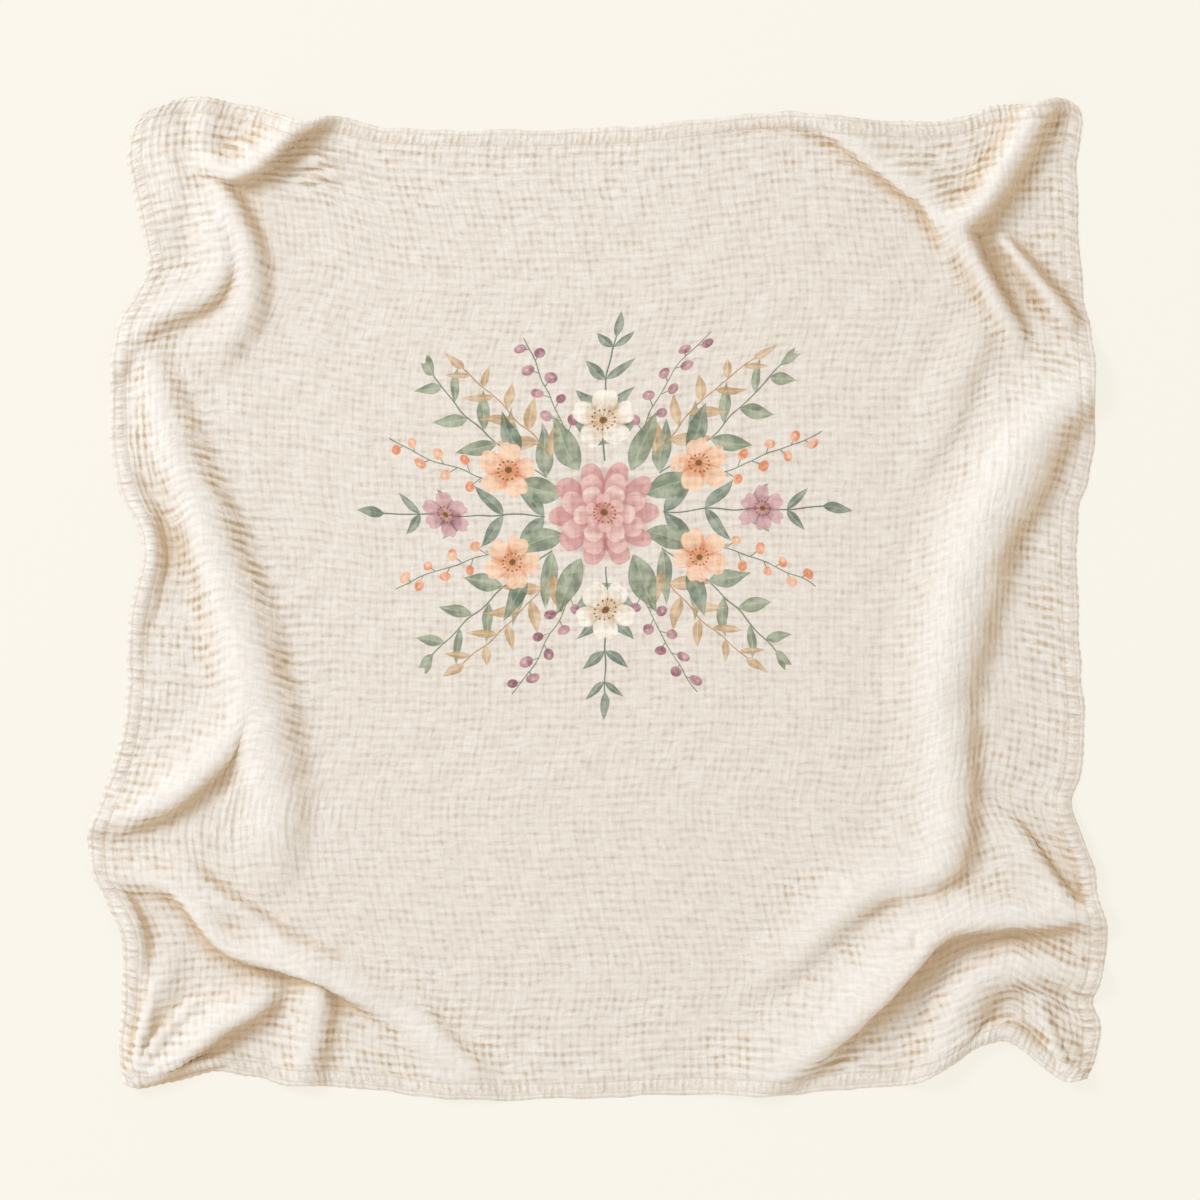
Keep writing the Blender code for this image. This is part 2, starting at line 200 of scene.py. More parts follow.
# Single leaves: length, breadth, root, heading, dyes.
LEAVES = (
    (66, 25, (40, 20), 14, SAGE),
    (66, 25, (26, 44), 66, SAGE),
    (52, 19, (84, 62), 68, BLUE_SAGE),
)
# Blossoms: petals, radius, middle, turn, dyes.
BLOSSOMS = (
    (5, 32, (0, 99), 0.25, CREAM),
    (5, 30, (97, 47), 0.10, PEACH),
    (6, 25, (160, 0), 0.0, MAUVE),
)
# The middle flower's rings of petals: petals, turn, radius, dyes.
ROSETTE_RINGS = (
    (10, 0.5, 56, (tint(226, 180, 178), tint(184, 118, 124))),
    (8, 0.0, 44, (tint(240, 208, 204), tint(200, 136, 142))),
    (6, 0.5, 32, (tint(246, 220, 214), tint(206, 144, 148))),
    (6, 0.0, 21, (tint(238, 200, 196), tint(186, 112, 120))),
)

# The scene, in metres, with its lens in millimetres. Light strengths are for a floor and cloth that come
# out as pale as they are.
FLOOR_COLOUR = tint(250, 246, 236)
FLOOR_REACH = 6.0
FLOOR_SHARE = 0.20
FLOOR_GLOW = 0.79
ROOM_COLOUR = (1.0, 0.94, 0.86)
ROOM_STRENGTH = 0.84
LAMP_STRENGTH = 1.25
LAMP_SIZE = 1.9
LAMP_DISTANCE = 5.5
LAMP_COLOUR = (0.93, 0.98, 1.06)
LAMP_WAY = (-1.0, 0.55, 0.85)
LENS = 200.0
VIEW_WIDTH = 1.2

# The hem's outer edge as (x, y), each side from left to right or from top to bottom.
TOP_EDGE = (
    (-457, 486), (-435, 497), (-410, 502), (-385, 501), (-345, 493), (-305, 485), (-278, 487),
    (-255, 482), (-215, 473), (-160, 470), (-60, 470), (40, 474), (100, 481), (160, 489), (210, 491),
    (250, 486), (290, 479), (335, 479), (362, 483), (390, 493), (430, 497), (462, 501), (478, 494),
)
BOTTOM_EDGE = (
    (-476, -482), (-458, -488), (-425, -481), (-385, -472), (-345, -477), (-310, -485), (-265, -486),
    (-210, -492), (-160, -498), (-110, -500), (-10, -498), (90, -494), (190, -494), (250, -489),
    (300, -486), (335, -473), (365, -454), (390, -443), (405, -440), (420, -449), (442, -467),
    (465, -480), (485, -479),
)
LEFT_EDGE = (
    (-457, 486), (-469, 465), (-472, 435), (-464, 400), (-455, 355), (-452, 330), (-467, 302),
    (-483, 275), (-489, 240), (-490, 180), (-487, 135), (-477, 100), (-462, 70), (-459, 40), (-466, 5),
    (-472, -30), (-473, -90), (-478, -130), (-488, -170), (-502, -205), (-512, -235), (-508, -272),
    (-494, -305), (-480, -340), (-477, -390), (-481, -445), (-476, -482),
)
RIGHT_EDGE = (
    (478, 494), (483, 475), (477, 440), (478, 390), (481, 330), (485, 295), (492, 260), (493, 210),
    (494, 155), (488, 120), (479, 90), (477, 40), (479, -30), (482, -85), (485, -125), (480, -175),
    (472, -200), (478, -228), (492, -262), (499, -300), (507, -335), (503, -372), (493, -400),
    (500, -422), (497, -455), (485, -479),
)

# Folds. Each row is a place on the crest: (x, y, height, left, right, lean), where left and right are how
# far the flanks reach to either side of the crest's way, and lean is how far it tips over to its right.
FOLDS = {
    "top_left_roll": (
        (-422, 446, 0, 20, 22, 0), (-404, 440, 10, 22, 22, 0), (-386, 434, 20, 24, 20, 2),
        (-365, 433, 28, 26, 18, 6), (-345, 446, 32, 26, 17, 9), (-325, 465, 30, 26, 16, 9),
        (-304, 479, 25, 26, 15, 7), (-280, 487, 16, 24, 15, 4), (-252, 491, 0, 20, 14, 0),
    ),
    "top_left_drop": (
        (-402, 232, 0, 34, 24, 0), (-378, 256, 10, 34, 26, 1), (-361, 282, 14, 30, 28, 2),
        (-354, 308, 16, 28, 28, 2), (-354, 336, 18, 26, 26, 2), (-360, 362, 20, 26, 22, 3),
        (-370, 386, 19, 24, 20, 2), (-380, 406, 15, 22, 20, 1), (-388, 424, 8, 20, 20, 0),
        (-394, 440, 0, 18, 18, 0),
    ),
    "top_left_cheek": (
        (-504, 215, 8, 24, 16, 0), (-478, 244, 9, 26, 20, 1), (-462, 272, 12, 30, 22, 2),
        (-442, 290, 14, 36, 24, 3), (-418, 300, 15, 40, 24, 3), (-394, 312, 16, 44, 22, 4),
        (-382, 336, 17, 44, 22, 4), (-384, 365, 16, 40, 22, 3), (-396, 400, 12, 34, 22, 2),
        (-408, 428, 0, 30, 20, 0),
    ),
    "top_left_puff": (
        (-445, 520, 8, 40, 40, 0), (-438, 470, 9, 40, 40, 0), (-432, 420, 9, 38, 40, 0),
        (-430, 370, 8, 34, 38, 0), (-436, 320, 0, 30, 30, 0),
    ),
    "top_left_ray": (
        (-397, 516, 8, 22, 22, 0), (-396, 488, 10, 22, 22, 0), (-394, 460, 11, 20, 20, 0),
        (-386, 438, 10, 20, 20, 0), (-368, 420, 6, 20, 20, 0),
    ),
    "left_long_ridge": (
        (-334, -300, 0, 44, 40, 0), (-328, -250, 14, 48, 44, 0), (-330, -200, 20, 52, 48, 1),
        (-336, -150, 23, 54, 50, 2), (-346, -100, 24, 54, 50, 2), (-359, -50, 24, 48, 50, 2),
        (-374, 0, 24, 40, 50, 2), (-392, 50, 24, 34, 48, 2), (-410, 100, 22, 32, 45, 2),
        (-430, 150, 20, 32, 42, 2), (-443, 198, 17, 28, 36, 2), (-449, 228, 13, 24, 28, 1),
        (-456, 262, 0, 24, 22, 0),
    ),
    "left_hem_hump": (
        (-468, -70, 0, 14, 14, 0), (-464, -30, 5, 14, 14, 0), (-455, 8, 10, 16, 16, 1),
        (-450, 40, 13, 18, 18, 2), (-454, 72, 13, 18, 18, 2), (-470, 112, 9, 16, 18, 1),
        (-482, 160, 0, 14, 18, 0),
    ),
    "left_low_diagonal": (
        (-520, -220, 9, 30, 26, 0), (-482, -214, 14, 34, 24, 3), (-452, -202, 19, 38, 22, 6),
        (-424, -184, 22, 42, 22, 8), (-400, -163, 22, 44, 22, 7), (-375, -140, 20, 44, 26, 5),
        (-358, -118, 14, 42, 26, 3), (-346, -92, 0, 40, 20, 0),
    ),
    "bottom_left_flap": (
        (-520, -272, 5, 26, 26, 0), (-482, -276, 9, 24, 22, 1), (-450, -276, 13, 22, 18, 3),
        (-424, -282, 17, 24, 16, 5), (-395, -308, 21, 28, 16, 7), (-376, -333, 23, 30, 15, 8),
        (-348, -346, 24, 30, 15, 9), (-317, -354, 25, 28, 14, 11), (-286, -365, 25, 28, 14, 12),
        (-254, -380, 21, 34, 15, 9), (-220, -402, 15, 40, 18, 5), (-192, -427, 11, 40, 18, 2),
        (-165, -466, 8, 36, 20, 0), (-145, -510, 6, 34, 20, 0),
    ),
    "bottom_left_flap_band": (
        (-432, -248, 0, 9, 10, 0), (-408, -270, 11, 9, 10, 0), (-382, -294, 15, 9, 10, 0),
        (-346, -319, 15, 9, 10, 0), (-306, -343, 14, 9, 10, 0), (-264, -362, 11, 9, 11, 0),
        (-220, -370, 0, 9, 12, 0),
    ),
    "bottom_left_flap_end": (
        (-214, -374, 0, 22, 40, 0), (-194, -396, 6, 18, 40, -2), (-174, -422, 12, 14, 38, -5),
        (-156, -444, 14, 12, 38, -6), (-137, -463, 12, 13, 34, -5), (-121, -481, 8, 15, 28, -2),
        (-108, -512, 4, 18, 26, 0),
    ),
    "bottom_left_corner_fold": (
        (-488, -496, 8, 24, 14, 0), (-463, -476, 12, 26, 14, 4), (-435, -456, 18, 30, 16, 8),
        (-408, -436, 22, 34, 18, 9), (-384, -418, 24, 36, 18, 9), (-360, -405, 23, 34, 18, 8),
        (-338, -393, 18, 28, 18, 6), (-314, -384, 0, 20, 16, 0),
    ),
    "bottom_left_upright": (
        (-306, -510, 12, 32, 30, 2), (-298, -452, 15, 32, 28, 4), (-291, -420, 17, 30, 25, 5),
        (-288, -392, 18, 28, 24, 5), (-290, -360, 12, 26, 26, 0),
    ),
    "left_low_hem_hump": (
        (-460, -395, 0, 12, 14, 0), (-462, -368, 8, 14, 16, 2), (-469, -342, 14, 16, 18, 5),
        (-479, -315, 14, 16, 18, 5), (-492, -288, 10, 16, 16, 3), (-502, -260, 0, 14, 14, 0),
    ),
    "bottom_left_ray": (
        (-478, -500, 7, 20, 24, 0), (-466, -466, 9, 20, 24, 0), (-450, -418, 9, 20, 26, 0),
        (-436, -372, 8, 22, 26, 0), (-424, -335, 0, 20, 24, 0),
    ),
    "top_edge_flap": (
        (90, 474, 0, 16, 12, 0), (145, 482, 7, 14, 13, 2), (200, 484, 11, 20, 14, 4),
        (238, 474, 15, 28, 15, 7), (272, 450, 17, 32, 15, 9), (304, 426, 18, 32, 15, 9),
        (332, 406, 20, 28, 16, 9), (348, 380, 22, 24, 18, 7), (352, 354, 14, 20, 18, 2),
        (348, 328, 0, 16, 16, 0),
    ),
    "top_right_roll": (
        (426, 240, 0, 14, 14, 0), (414, 264, 12, 14, 13, 2), (397, 292, 22, 14, 13, 3),
        (381, 318, 26, 14, 14, 4), (365, 342, 27, 15, 17, 6), (354, 364, 28, 16, 22, 6),
        (361, 386, 29, 16, 26, 6), (376, 404, 29, 16, 28, 6), (390, 424, 28, 17, 30, 5),
        (405, 446, 27, 19, 30, 4), (420, 468, 25, 22, 30, 3), (434, 492, 22, 25, 30, 1),
        (446, 520, 18, 26, 28, 0),
    ),
    "top_right_branch": (
        (396, 368, 0, 8, 12, 0), (408, 350, 20, 8, 14, -3), (427, 324, 26, 8, 17, -5),
        (447, 302, 25, 8, 19, -5), (465, 283, 17, 8, 18, -3), (480, 263, 0, 10, 16, 0),
    ),
    "right_inner_ripple": (
        (320, 114, 0, 36, 24, 0), (336, 162, 6, 38, 26, 1),
        (352, 204, 8, 38, 26, 2), (370, 248, 7, 34, 24, 2),
        (390, 290, 0, 30, 20, 0),
    ),
    "right_long_ridge": (
        (150, -392, 0, 36, 22, 0), (178, -372, 7, 40, 24, 1), (206, -348, 12, 44, 26, 1),
        (232, -318, 16, 48, 28, 2), (256, -295, 18, 50, 28, 3), (282, -282, 18, 56, 28, 4),
        (308, -276, 19, 62, 30, 5), (332, -262, 20, 64, 34, 6), (341, -236, 22, 64, 36, 6),
        (341, -200, 22, 60, 38, 6), (338, -165, 22, 56, 42, 6), (336, -125, 22, 54, 46, 6),
        (332, -90, 23, 52, 50, 6), (336, -50, 25, 52, 55, 7), (342, -15, 26, 52, 58, 7),
        (350, 20, 27, 52, 59, 7), (358, 55, 28, 52, 60, 8), (370, 90, 29, 52, 59, 9),
        (392, 125, 29, 54, 60, 9), (415, 160, 27, 56, 54, 8), (450, 196, 22, 58, 42, 6),
        (512, 232, 14, 60, 30, 2),
    ),
    "right_low_flap": (
        (376, -196, 0, 14, 30, 0), (396, -220, 5, 18, 34, -2), (413, -240, 12, 20, 36, -4),
        (434, -270, 15, 20, 34, -5), (456, -298, 15, 18, 28, -5), (484, -316, 13, 16, 22, -2),
        (525, -324, 10, 18, 20, 0),
    ),
    "right_low_hem_hump": (
        (458, -185, 0, 14, 16, 0), (464, -216, 9, 14, 16, 0), (479, -250, 11, 14, 16, 0),
        (492, -284, 9, 14, 16, 0), (504, -322, 0, 12, 14, 0),
    ),
    "bottom_right_roll": (
        (130, -520, 9, 60, 24, 1), (172, -476, 13, 62, 24, 4), (216, -436, 20, 62, 23, 10),
        (250, -404, 26, 60, 22, 14), (276, -377, 30, 58, 21, 15), (299, -352, 31, 56, 21, 14),
        (322, -329, 30, 50, 21, 12), (352, -315, 27, 44, 21, 10), (390, -311, 24, 40, 19, 8),
        (428, -312, 21, 38, 18, 7), (464, -314, 17, 30, 16, 5), (490, -308, 13, 20, 16, 3),
        (525, -296, 10, 18, 16, 0),
    ),
    "bottom_right_mound": (
        (315, -520, 12, 24, 44, 0), (326, -472, 15, 26, 46, 2), (338, -434, 18, 26, 46, 4),
        (350, -400, 20, 26, 44, 5), (372, -374, 20, 24, 40, 5), (404, -360, 19, 22, 40, 4),
        (442, -360, 17, 20, 36, 3), (474, -370, 14, 20, 30, 2), (515, -385, 10, 20, 26, 0),
    ),
    "bottom_right_corner_ray": (
        (490, -504, 14, 16, 16, 0), (472, -474, 15, 16, 18, 0), (458, -446, 15, 18, 20, 0),
        (444, -416, 11, 18, 20, 0), (432, -384, 0, 18, 18, 0),
    ),
    "bottom_right_notch_hem": (
        (350, -458, 6, 12, 18, 0), (384, -436, 10, 14, 18, 0), (406, -432, 12, 16, 16, 0),
        (426, -446, 12, 16, 16, 0), (450, -468, 12, 18, 18, 0), (478, -492, 12, 18, 18, 0),
    ),
}

# Small creases as (x, y, height, width): a ridge, or a trough where the height is below nought.
CREASES = {
    "top_right_slot": (
        (382, 372, 0, 8), (392, 348, -12, 9), (406, 322, -16, 11), (424, 298, -15, 11),
        (440, 280, -9, 9), (452, 264, 0, 8),
    ),
    "top_right_hem_slit": (
        (455, 494, 0, 4), (459, 478, -6, 4), (457, 462, -6, 4), (451, 446, 0, 5),
    ),
    "bottom_left_corner_upper": (
        (-470, -476, 0, 4), (-460, -446, 8, 4), (-452, -414, 7, 5), (-444, -380, 0, 7),
    ),
    "bottom_left_corner_middle": (
        (-468, -474, 0, 4), (-442, -438, 8, 4), (-414, -408, 6, 5), (-384, -388, 0, 7),
    ),
    "bottom_left_corner_lower": (
        (-466, -478, 0, 4), (-424, -468, 7, 4), (-384, -460, 6, 4), (-350, -450, 0, 6),
    ),
    "left_hem_pocket": (
        (-448, 96, 0, 9), (-436, 72, -3, 10), (-426, 42, -4, 12), (-430, 6, -3, 12), (-440, -26, 0, 10),
    ),
    "top_left_rib_upper": (
        (-322, 436, 0, 4), (-296, 438, 5, 4), (-268, 441, 5, 4), (-246, 442, 0, 4),
    ),
    "top_left_rib_lower": (
        (-312, 421, 0, 4), (-284, 423, 5, 4), (-256, 426, 4, 4), (-234, 427, 0, 4),
    ),
    "top_left_crease": (
        (-394, 492, 0, 5), (-378, 474, 4, 5), (-358, 456, 4, 5), (-342, 444, 0, 6),
    ),
    "bottom_crease": (
        (-190, -388, 0, 5), (-166, -420, -4, 5), (-138, -460, 0, 6),
    ),
    "right_low_pocket": (
        (412, -224, 0, 8), (430, -240, -5, 11), (452, -264, -7, 12), (474, -294, -5, 10),
        (488, -312, 0, 8),
    ),
    "bottom_right_corner_line": (
        (444, -396, 0, 4), (456, -430, -6, 4), (468, -460, -5, 4), (474, -472, 0, 4),
    ),
    "bottom_right_corner_second_line": (
        (484, -392, 0, 4), (482, -426, -5, 4), (478, -456, 0, 4),
    ),
    "right_small_crease": (
        (276, -348, 0, 3), (290, -341, -4, 3), (303, -338, -4, 3), (306, -328, -4, 3),
        (316, -319, 0, 3),
    ),
}


def curve_through(rows):
    """Catmull-Rom curve through the rows of a table, with every column carried along."""
    knots = np.array(rows, float)
    knots = np.vstack([2 * knots[0] - knots[1], knots, 2 * knots[-1] - knots[-2]])
    step = np.arange(CURVE_STEPS)[:, None] / CURVE_STEPS
    stretches = []
    for before, start, end, after in zip(knots, knots[1:], knots[2:], knots[3:]):
        slope = (end - before) * step
        square = (2 * before - 5 * start + 4 * end - after) * step**2
        cube = (3 * start - before - 3 * end + after) * step**3
        stretches.append(start + 0.5 * (slope + square + cube))
    return np.vstack(stretches + [knots[-2:-1]])


def gone_along(line):
    """How far along a line each of its points lies."""
    return np.concatenate([[0], np.cumsum(np.linalg.norm(np.diff(line, axis=0), axis=1))])


def places_on(line, gone, wanted):
    """Places on a line at the wanted distances along it."""
    return np.stack([np.interp(wanted, gone, line[:, k]) for k in (0, 1)], axis=-1)


def along_edge(rows, share):
    """Points of an edge at the given shares of its length."""
    line = curve_through(rows)
    gone = gone_along(line)
    return places_on(line, gone, share * gone[-1])


def spread_flat(across, down):
    """Places on the flat for the cloth's points, before any fold lifts them."""
    across, down = across[..., None], down[..., None]
    corners = [np.array(rows[end], float) for rows in (TOP_EDGE, BOTTOM_EDGE) for end in (0, -1)]
    top = corners[0] * (1 - across) + corners[1] * across
    bottom = corners[2] * (1 - across) + corners[3] * across
    place = top * (1 - down) + bottom * down
    for rows, share, fade in (
        (TOP_EDGE, across, 1 - down),
        (BOTTOM_EDGE, across, down),
        (LEFT_EDGE, down, 1 - across),
        (RIGHT_EDGE, down, across),
    ):
        chord = np.array(rows[0], float) * (1 - share) + np.array(rows[-1], float) * share
        place = place + (along_edge(rows, share[..., 0]) - chord) * fade**EDGE_FADE
    return place


def near_line(rows, place, reach):
    """Places near a table's curve: (which they are, the row there, the way from it, the curve's way)."""
    line = curve_through(rows)
    low, high = line[:, :2].min(0) - reach, line[:, :2].max(0) + reach
    which = np.flatnonzero(np.all((place > low) & (place < high), axis=1))
    if not len(which):
        return which, np.zeros((line.shape[1], 0)), np.zeros((0, 2)), np.zeros((0, 2))
    start, run = line[:-1], np.diff(line, axis=0)
    away = place[which][:, None] - start[:, :2]
    share = np.clip((away * run[:, :2]).sum(-1) / (run[:, :2] ** 2).sum(-1), 0, 1)
    away = away - share[..., None] * run[:, :2]
    nearest = (away**2).sum(-1).argmin(1)
    every = np.arange(len(nearest))
    share, away = share[every, nearest][:, None], away[every, nearest]
    way = np.gradient(line[:, :2], axis=0)
    way = way[nearest] * (1 - share) + way[nearest + 1] * share
    way /= np.linalg.norm(way, axis=1, keepdims=True)
    return which, (start[nearest] + share * run[nearest]).T, away, way


def fold_at(rows, drag_share, place):
    """Lift and sideways shift that one fold gives to each place."""
    lift, shift = np.zeros(len(place)), np.zeros((len(place), 2))
    which, row, away, way = near_line(rows, place, np.array(rows)[:, 3:5].max() + FOLD_MARGIN)
    height, left, right, lean = row[2:]
    rightward = np.stack([way[:, 1], -way[:, 0]], axis=1)
    on_right = (away * rightward).sum(1) > 0
    part = np.clip(np.linalg.norm(away, axis=1) / np.where(on_right, right, left), 0, 1)
    overhangs = np.clip(lean / FULL_LEAN, -1, 1) * np.where(on_right, 1, -1)
    rounded = (1 - part**2) ** 2
    bulging = (1 - part**2.4) ** 1.4
    easing = (1 - part**1.5) ** 2
    change = np.where(overhangs > 0, bulging - rounded, rounded - easing)
    profile = rounded + overhangs * change
    lift[which] = np.maximum(height, 0) * profile
    shift[which] = (LEAN_SHARE * lean * profile)[:, None] * rightward
    from_edge = EDGE_PLACE - np.abs(place[which]).max(1)
    drag = drag_share * lift[which] * rise_between(from_edge, *DRAG_FADE)
    shift[which] += drag[:, None] * way * way[:, 1:]
    return lift, shift


def crease_at(rows, place):
    """Height that one small crease adds to each place, with soft ends and sides."""
    lift = np.zeros(len(place))
    which, row, away, _ = near_line(rows, place, CREASE_REACH * np.array(rows)[:, 3].max())
    height, width = row[2:]
    lift[which] = height * np.exp(-((away**2).sum(1) / width**2))
    return lift


def soften(folded, place):
    """The folds rounded off by averaging neighbours along both ways of the grid."""
    step = np.linalg.norm(place[0, -1] - place[0, 0]) / (len(place) - 1)
    return averaged(folded, rounds=max(1, round(2 * (SOFT_RADIUS / step) ** 2)))


def averaged(values, ways=(0, 1), rounds=1):
    """A grid of values, each averaged with its neighbours along the given ways for some rounds."""
    for axis in ways * rounds:
        ends = [(1, 1) if axis == k else (0, 0) for k in range(values.ndim)]
        wide = np.pad(values, ends, mode="edge")
        before, after = (wide[:-2], wide[2:]) if axis == 0 else (wide[:, :-2], wide[:, 2:])
        values = values / 2 + (before + after) / 4
    return values


def fold_field():
    """What the folds and creases add to an even grid over the cloth: (shift x, shift y, lift)."""
    even = np.linspace(0, 1, FIELD_LINES)
    place = spread_flat(*np.meshgrid(even, even))
    flat = place.reshape(-1, 2)
    total, shift = np.zeros(len(flat)), np.zeros((len(flat), 2))
    for name, rows in FOLDS.items():
        lift, sideways = fold_at(rows, DRAG_SHARES.get(name, 0.0), flat)
        weight = lift**BLEND_POWER
        total += weight
        shift += weight[:, None] * sideways
    lifted = total > 0
    shift[lifted] /= total[lifted, None]
    folded = np.column_stack([shift, total ** (1 / BLEND_POWER)]).reshape(*place.shape[:-1], 3)
    folded = soften(folded, place)
    for rows in CREASES.values():
        folded[..., 2] += crease_at(rows, flat).reshape(place.shape[:-1])
    return folded


def sampled(field, across, down):
    """Values of an even grid over the cloth at the given shares, smoothly between its points."""
    ends = np.array(field.shape[:2]) - 1
    down_step, across_step = down * ends[0], across * ends[1]
    row, column = np.floor(down_step).astype(int), np.floor(across_step).astype(int)
    total = 0
    for i, by_row in enumerate(smooth_weights(down_step - row)):
        for j, by_column in enumerate(smooth_weights(across_step - column)):
            here = field[np.clip(row + i - 1, 0, ends[0]), np.clip(column + j - 1, 0, ends[1])]
            total = total + here * (by_row * by_column)[..., None]
    return total


def smooth_weights(part):
    """Catmull-Rom weights of the four values round a place between the middle two."""
    square, cube = part**2, part**3
    return (
        (2 * square - part - cube) / 2,
        (2 - 5 * square + 3 * cube) / 2,
        (part + 4 * square - 3 * cube) / 2,
        (cube - square) / 2,
    )


def even_out(share, points, wanted, axis):
    """Shares moved along their grid lines to the wanted shares of the cloth's length, and that length."""
    share, points = np.moveaxis(share, axis, -1), np.moveaxis(points, axis, -2)
    length = np.linalg.norm(np.diff(points, axis=-2), axis=-1)
    gone = np.concatenate([np.zeros((len(length), 1)), np.cumsum(length, axis=-1)], axis=-1)
    moved = np.array([np.interp(wanted * g[-1], g, s) for g, s in zip(gone, share)])
    return np.moveaxis(moved, -1, axis), gone[:, -1].mean()


def grid_shares(gaps, length):
    """Where grid lines cross the cloth, from a table of the gaps between them."""
    place = np.linspace(0, length, GAP_SAMPLES)
    gap = np.interp(np.minimum(place, length - place), *np.array(gaps, float).T)
    count = np.concatenate([[0], np.cumsum(np.diff(place) * 2 / (gap[1:] + gap[:-1]))])
    lines = round(count[-1] / UNDERSIDE_STEP) * UNDERSIDE_STEP + 1
    return np.interp(np.linspace(0, count[-1], lines), count, place) / length


def laid(field, across, down):
    """Points of the cloth's underside."""
    folded = sampled(field, across, down)
    place = spread_flat(across, down) + folded[..., :2]
    return np.concatenate([place, np.maximum(folded[..., 2:], 0)], axis=-1)


def drape(field):
    """(points of the underside, flat x, flat y, width, depth) of the cloth's grid."""
    wide = grid_shares(GAPS_ACROSS, CLOTH_LENGTH)
    deep = grid_shares(GAPS_DOWN, CLOTH_LENGTH)
    across, down = np.meshgrid(wide, deep)
    for _ in range(EVENING_ROUNDS):
        points = laid(field, across, down)
        across, width = even_out(across, points, wide, 1)
        down, depth = even_out(down, points, deep, 0)
        across = averaged(across, (0,), SHARING_ROUNDS)
        down = averaged(down, (1,), SHARING_ROUNDS)
    flat_x, flat_y = np.meshgrid(wide * width, -deep * depth)
    return laid(field, across, down), flat_x, flat_y, width, depth


def crinkle(x, y, sin):
    """Rows and columns of the gauze's crinkle at a flat place, as waves whose noughts are its grooves."""
    drift = 0.4 * sin(x / 97 + 1.7 * sin(y / 133)) + 0.22 * sin(x / 37 - y / 41 + 1.1)
    drift = drift + 0.24 * sin(x / 9.7 + 1.2 * sin(y / 15))
    rows = sin(y * (math.pi / ROW_PITCH) + drift)
    sway = 0.5 * sin(y / 97 + 1.3 * sin(x / 61)) + 0.2 * sin(y / 31 + x / 37 + 2.0)
    columns = sin(x * (math.pi / COLUMN_PITCH) + sway)
    return rows, columns


def patches(x, y, sin):
    """How strongly the crinkle shows from place to place, about a half to one."""
    return 0.72 + 0.28 * sin(x / 31 + 2.1 * sin(y / 23)) * sin(y / 17 + 1.2 * sin(x / 41))


def swell(x, y):
    """Height of the soft, broad unevenness of cloth that has been laid down by hand."""
    return SWELL_RISE * np.sin(x / 12 + 1.4 * np.sin(y / 27)) * np.sin(y / 13 + 1.3 * np.sin(x / 31))


def facing(points):
    """Unit normals of a grid of points, and its unit ways across and down."""
    along = np.gradient(points, axis=1)
    downward = np.gradient(points, axis=0)
    normal = np.cross(downward, along)
    return tuple(v / np.linalg.norm(v, axis=-1, keepdims=True) for v in (normal, along, downward))


def rise_between(value, low, high):
    """Nought below low, one above high and a smooth rise between."""
    part = np.clip((value - low) / (high - low), 0, 1)
    return part * part * (3 - 2 * part)


def shelter(points):
    """How far the cloth round each point shuts it in, from nought in the open to over one in a pocket, and
    more where cloth rises between it and the lamp. The material paints shade by it.
    """
    low = points[..., :2].min((0, 1)) - 3 * SHELTER_CELL
    cell = ((points[..., :2] - low) / SHELTER_CELL).astype(int)
    heights = np.zeros(cell.max((0, 1)) + 4)
    np.maximum.at(heights, (cell[..., 0], cell[..., 1]), points[..., 2])
    empty = heights == 0
    heights = np.where(empty, averaged(heights, rounds=2), heights)
    shut, shade = np.zeros(points.shape[:2]), np.zeros(points.shape[:2])
    lamp = math.atan2(LAMP_WAY[1], LAMP_WAY[0])
    angles = lamp + np.arange(SHELTER_WAYS) * (2 * math.pi / SHELTER_WAYS)
    for angle in angles:
        slope = np.zeros(points.shape[:2])
        for reach in SHELTER_REACHES:
            there = points[..., :2] + reach * np.array([math.cos(angle), math.sin(angle)])
            cell = np.clip(((there - low) / SHELTER_CELL).astype(int), 0, np.array(heights.shape) - 1)
            slope = np.maximum(slope, (heights[cell[..., 0], cell[..., 1]] - points[..., 2]) / reach)
        shut += slope**2 / (1 + slope**2) / SHELTER_WAYS
        if angle == lamp:
            shade = slope
    shut = rise_between(shut, 0.02, 0.42) + LAMP_SHADE * rise_between(shade, 0.25, 1.0)
    return averaged(np.minimum(shut, MOST_SHELTER), rounds=2)


def drawn_at(points, x, y, across, down, share):
    """How much one soft spot draws the crinkle at each point into streaks or ribs."""
    return share * np.exp(-(((points[..., 0] - x) / across) ** 2) - ((points[..., 1] - y) / down) ** 2)


def bell(away, reach):
    """One at nought, with a soft fall to nothing beyond the reach."""
    return np.exp(-((away / reach) ** 2))


def gather_at(steep, hollow, to_side, to_end, drawn):
    """How gathered the cloth is, from its folds and its distances from the upright and level edges."""
    gather = GATHERED["plain"] + GATHERED["edge"] * bell(np.minimum(to_side, to_end), EDGE_REACH)
    gather = gather + GATHERED["steep"] * steep
    gather = gather + GATHERED["corner"] * bell(to_side + to_end, CORNER_REACH)
    gather = gather + GATHERED["hollow"] * rise_between(hollow, 0.3, 3.0)
    gather = gather + GATHERED["crest"] * rise_between(-hollow, 0.5, 4.0)
    return gather + GATHERED["drawn"] * np.abs(drawn)


def hem_relief(to_edge, pucker):
    """Height of the hem over the plain cloth, puckered most along its seams."""
    section = curve_through(HEM_SECTION)
    near_seams = sum(bell(to_edge - line, 4.0) for line in HEM_STITCH_LINES)
    return np.interp(to_edge, section[:, 0], section[:, 1]) + pucker * (0.4 + 0.5 * near_seams)


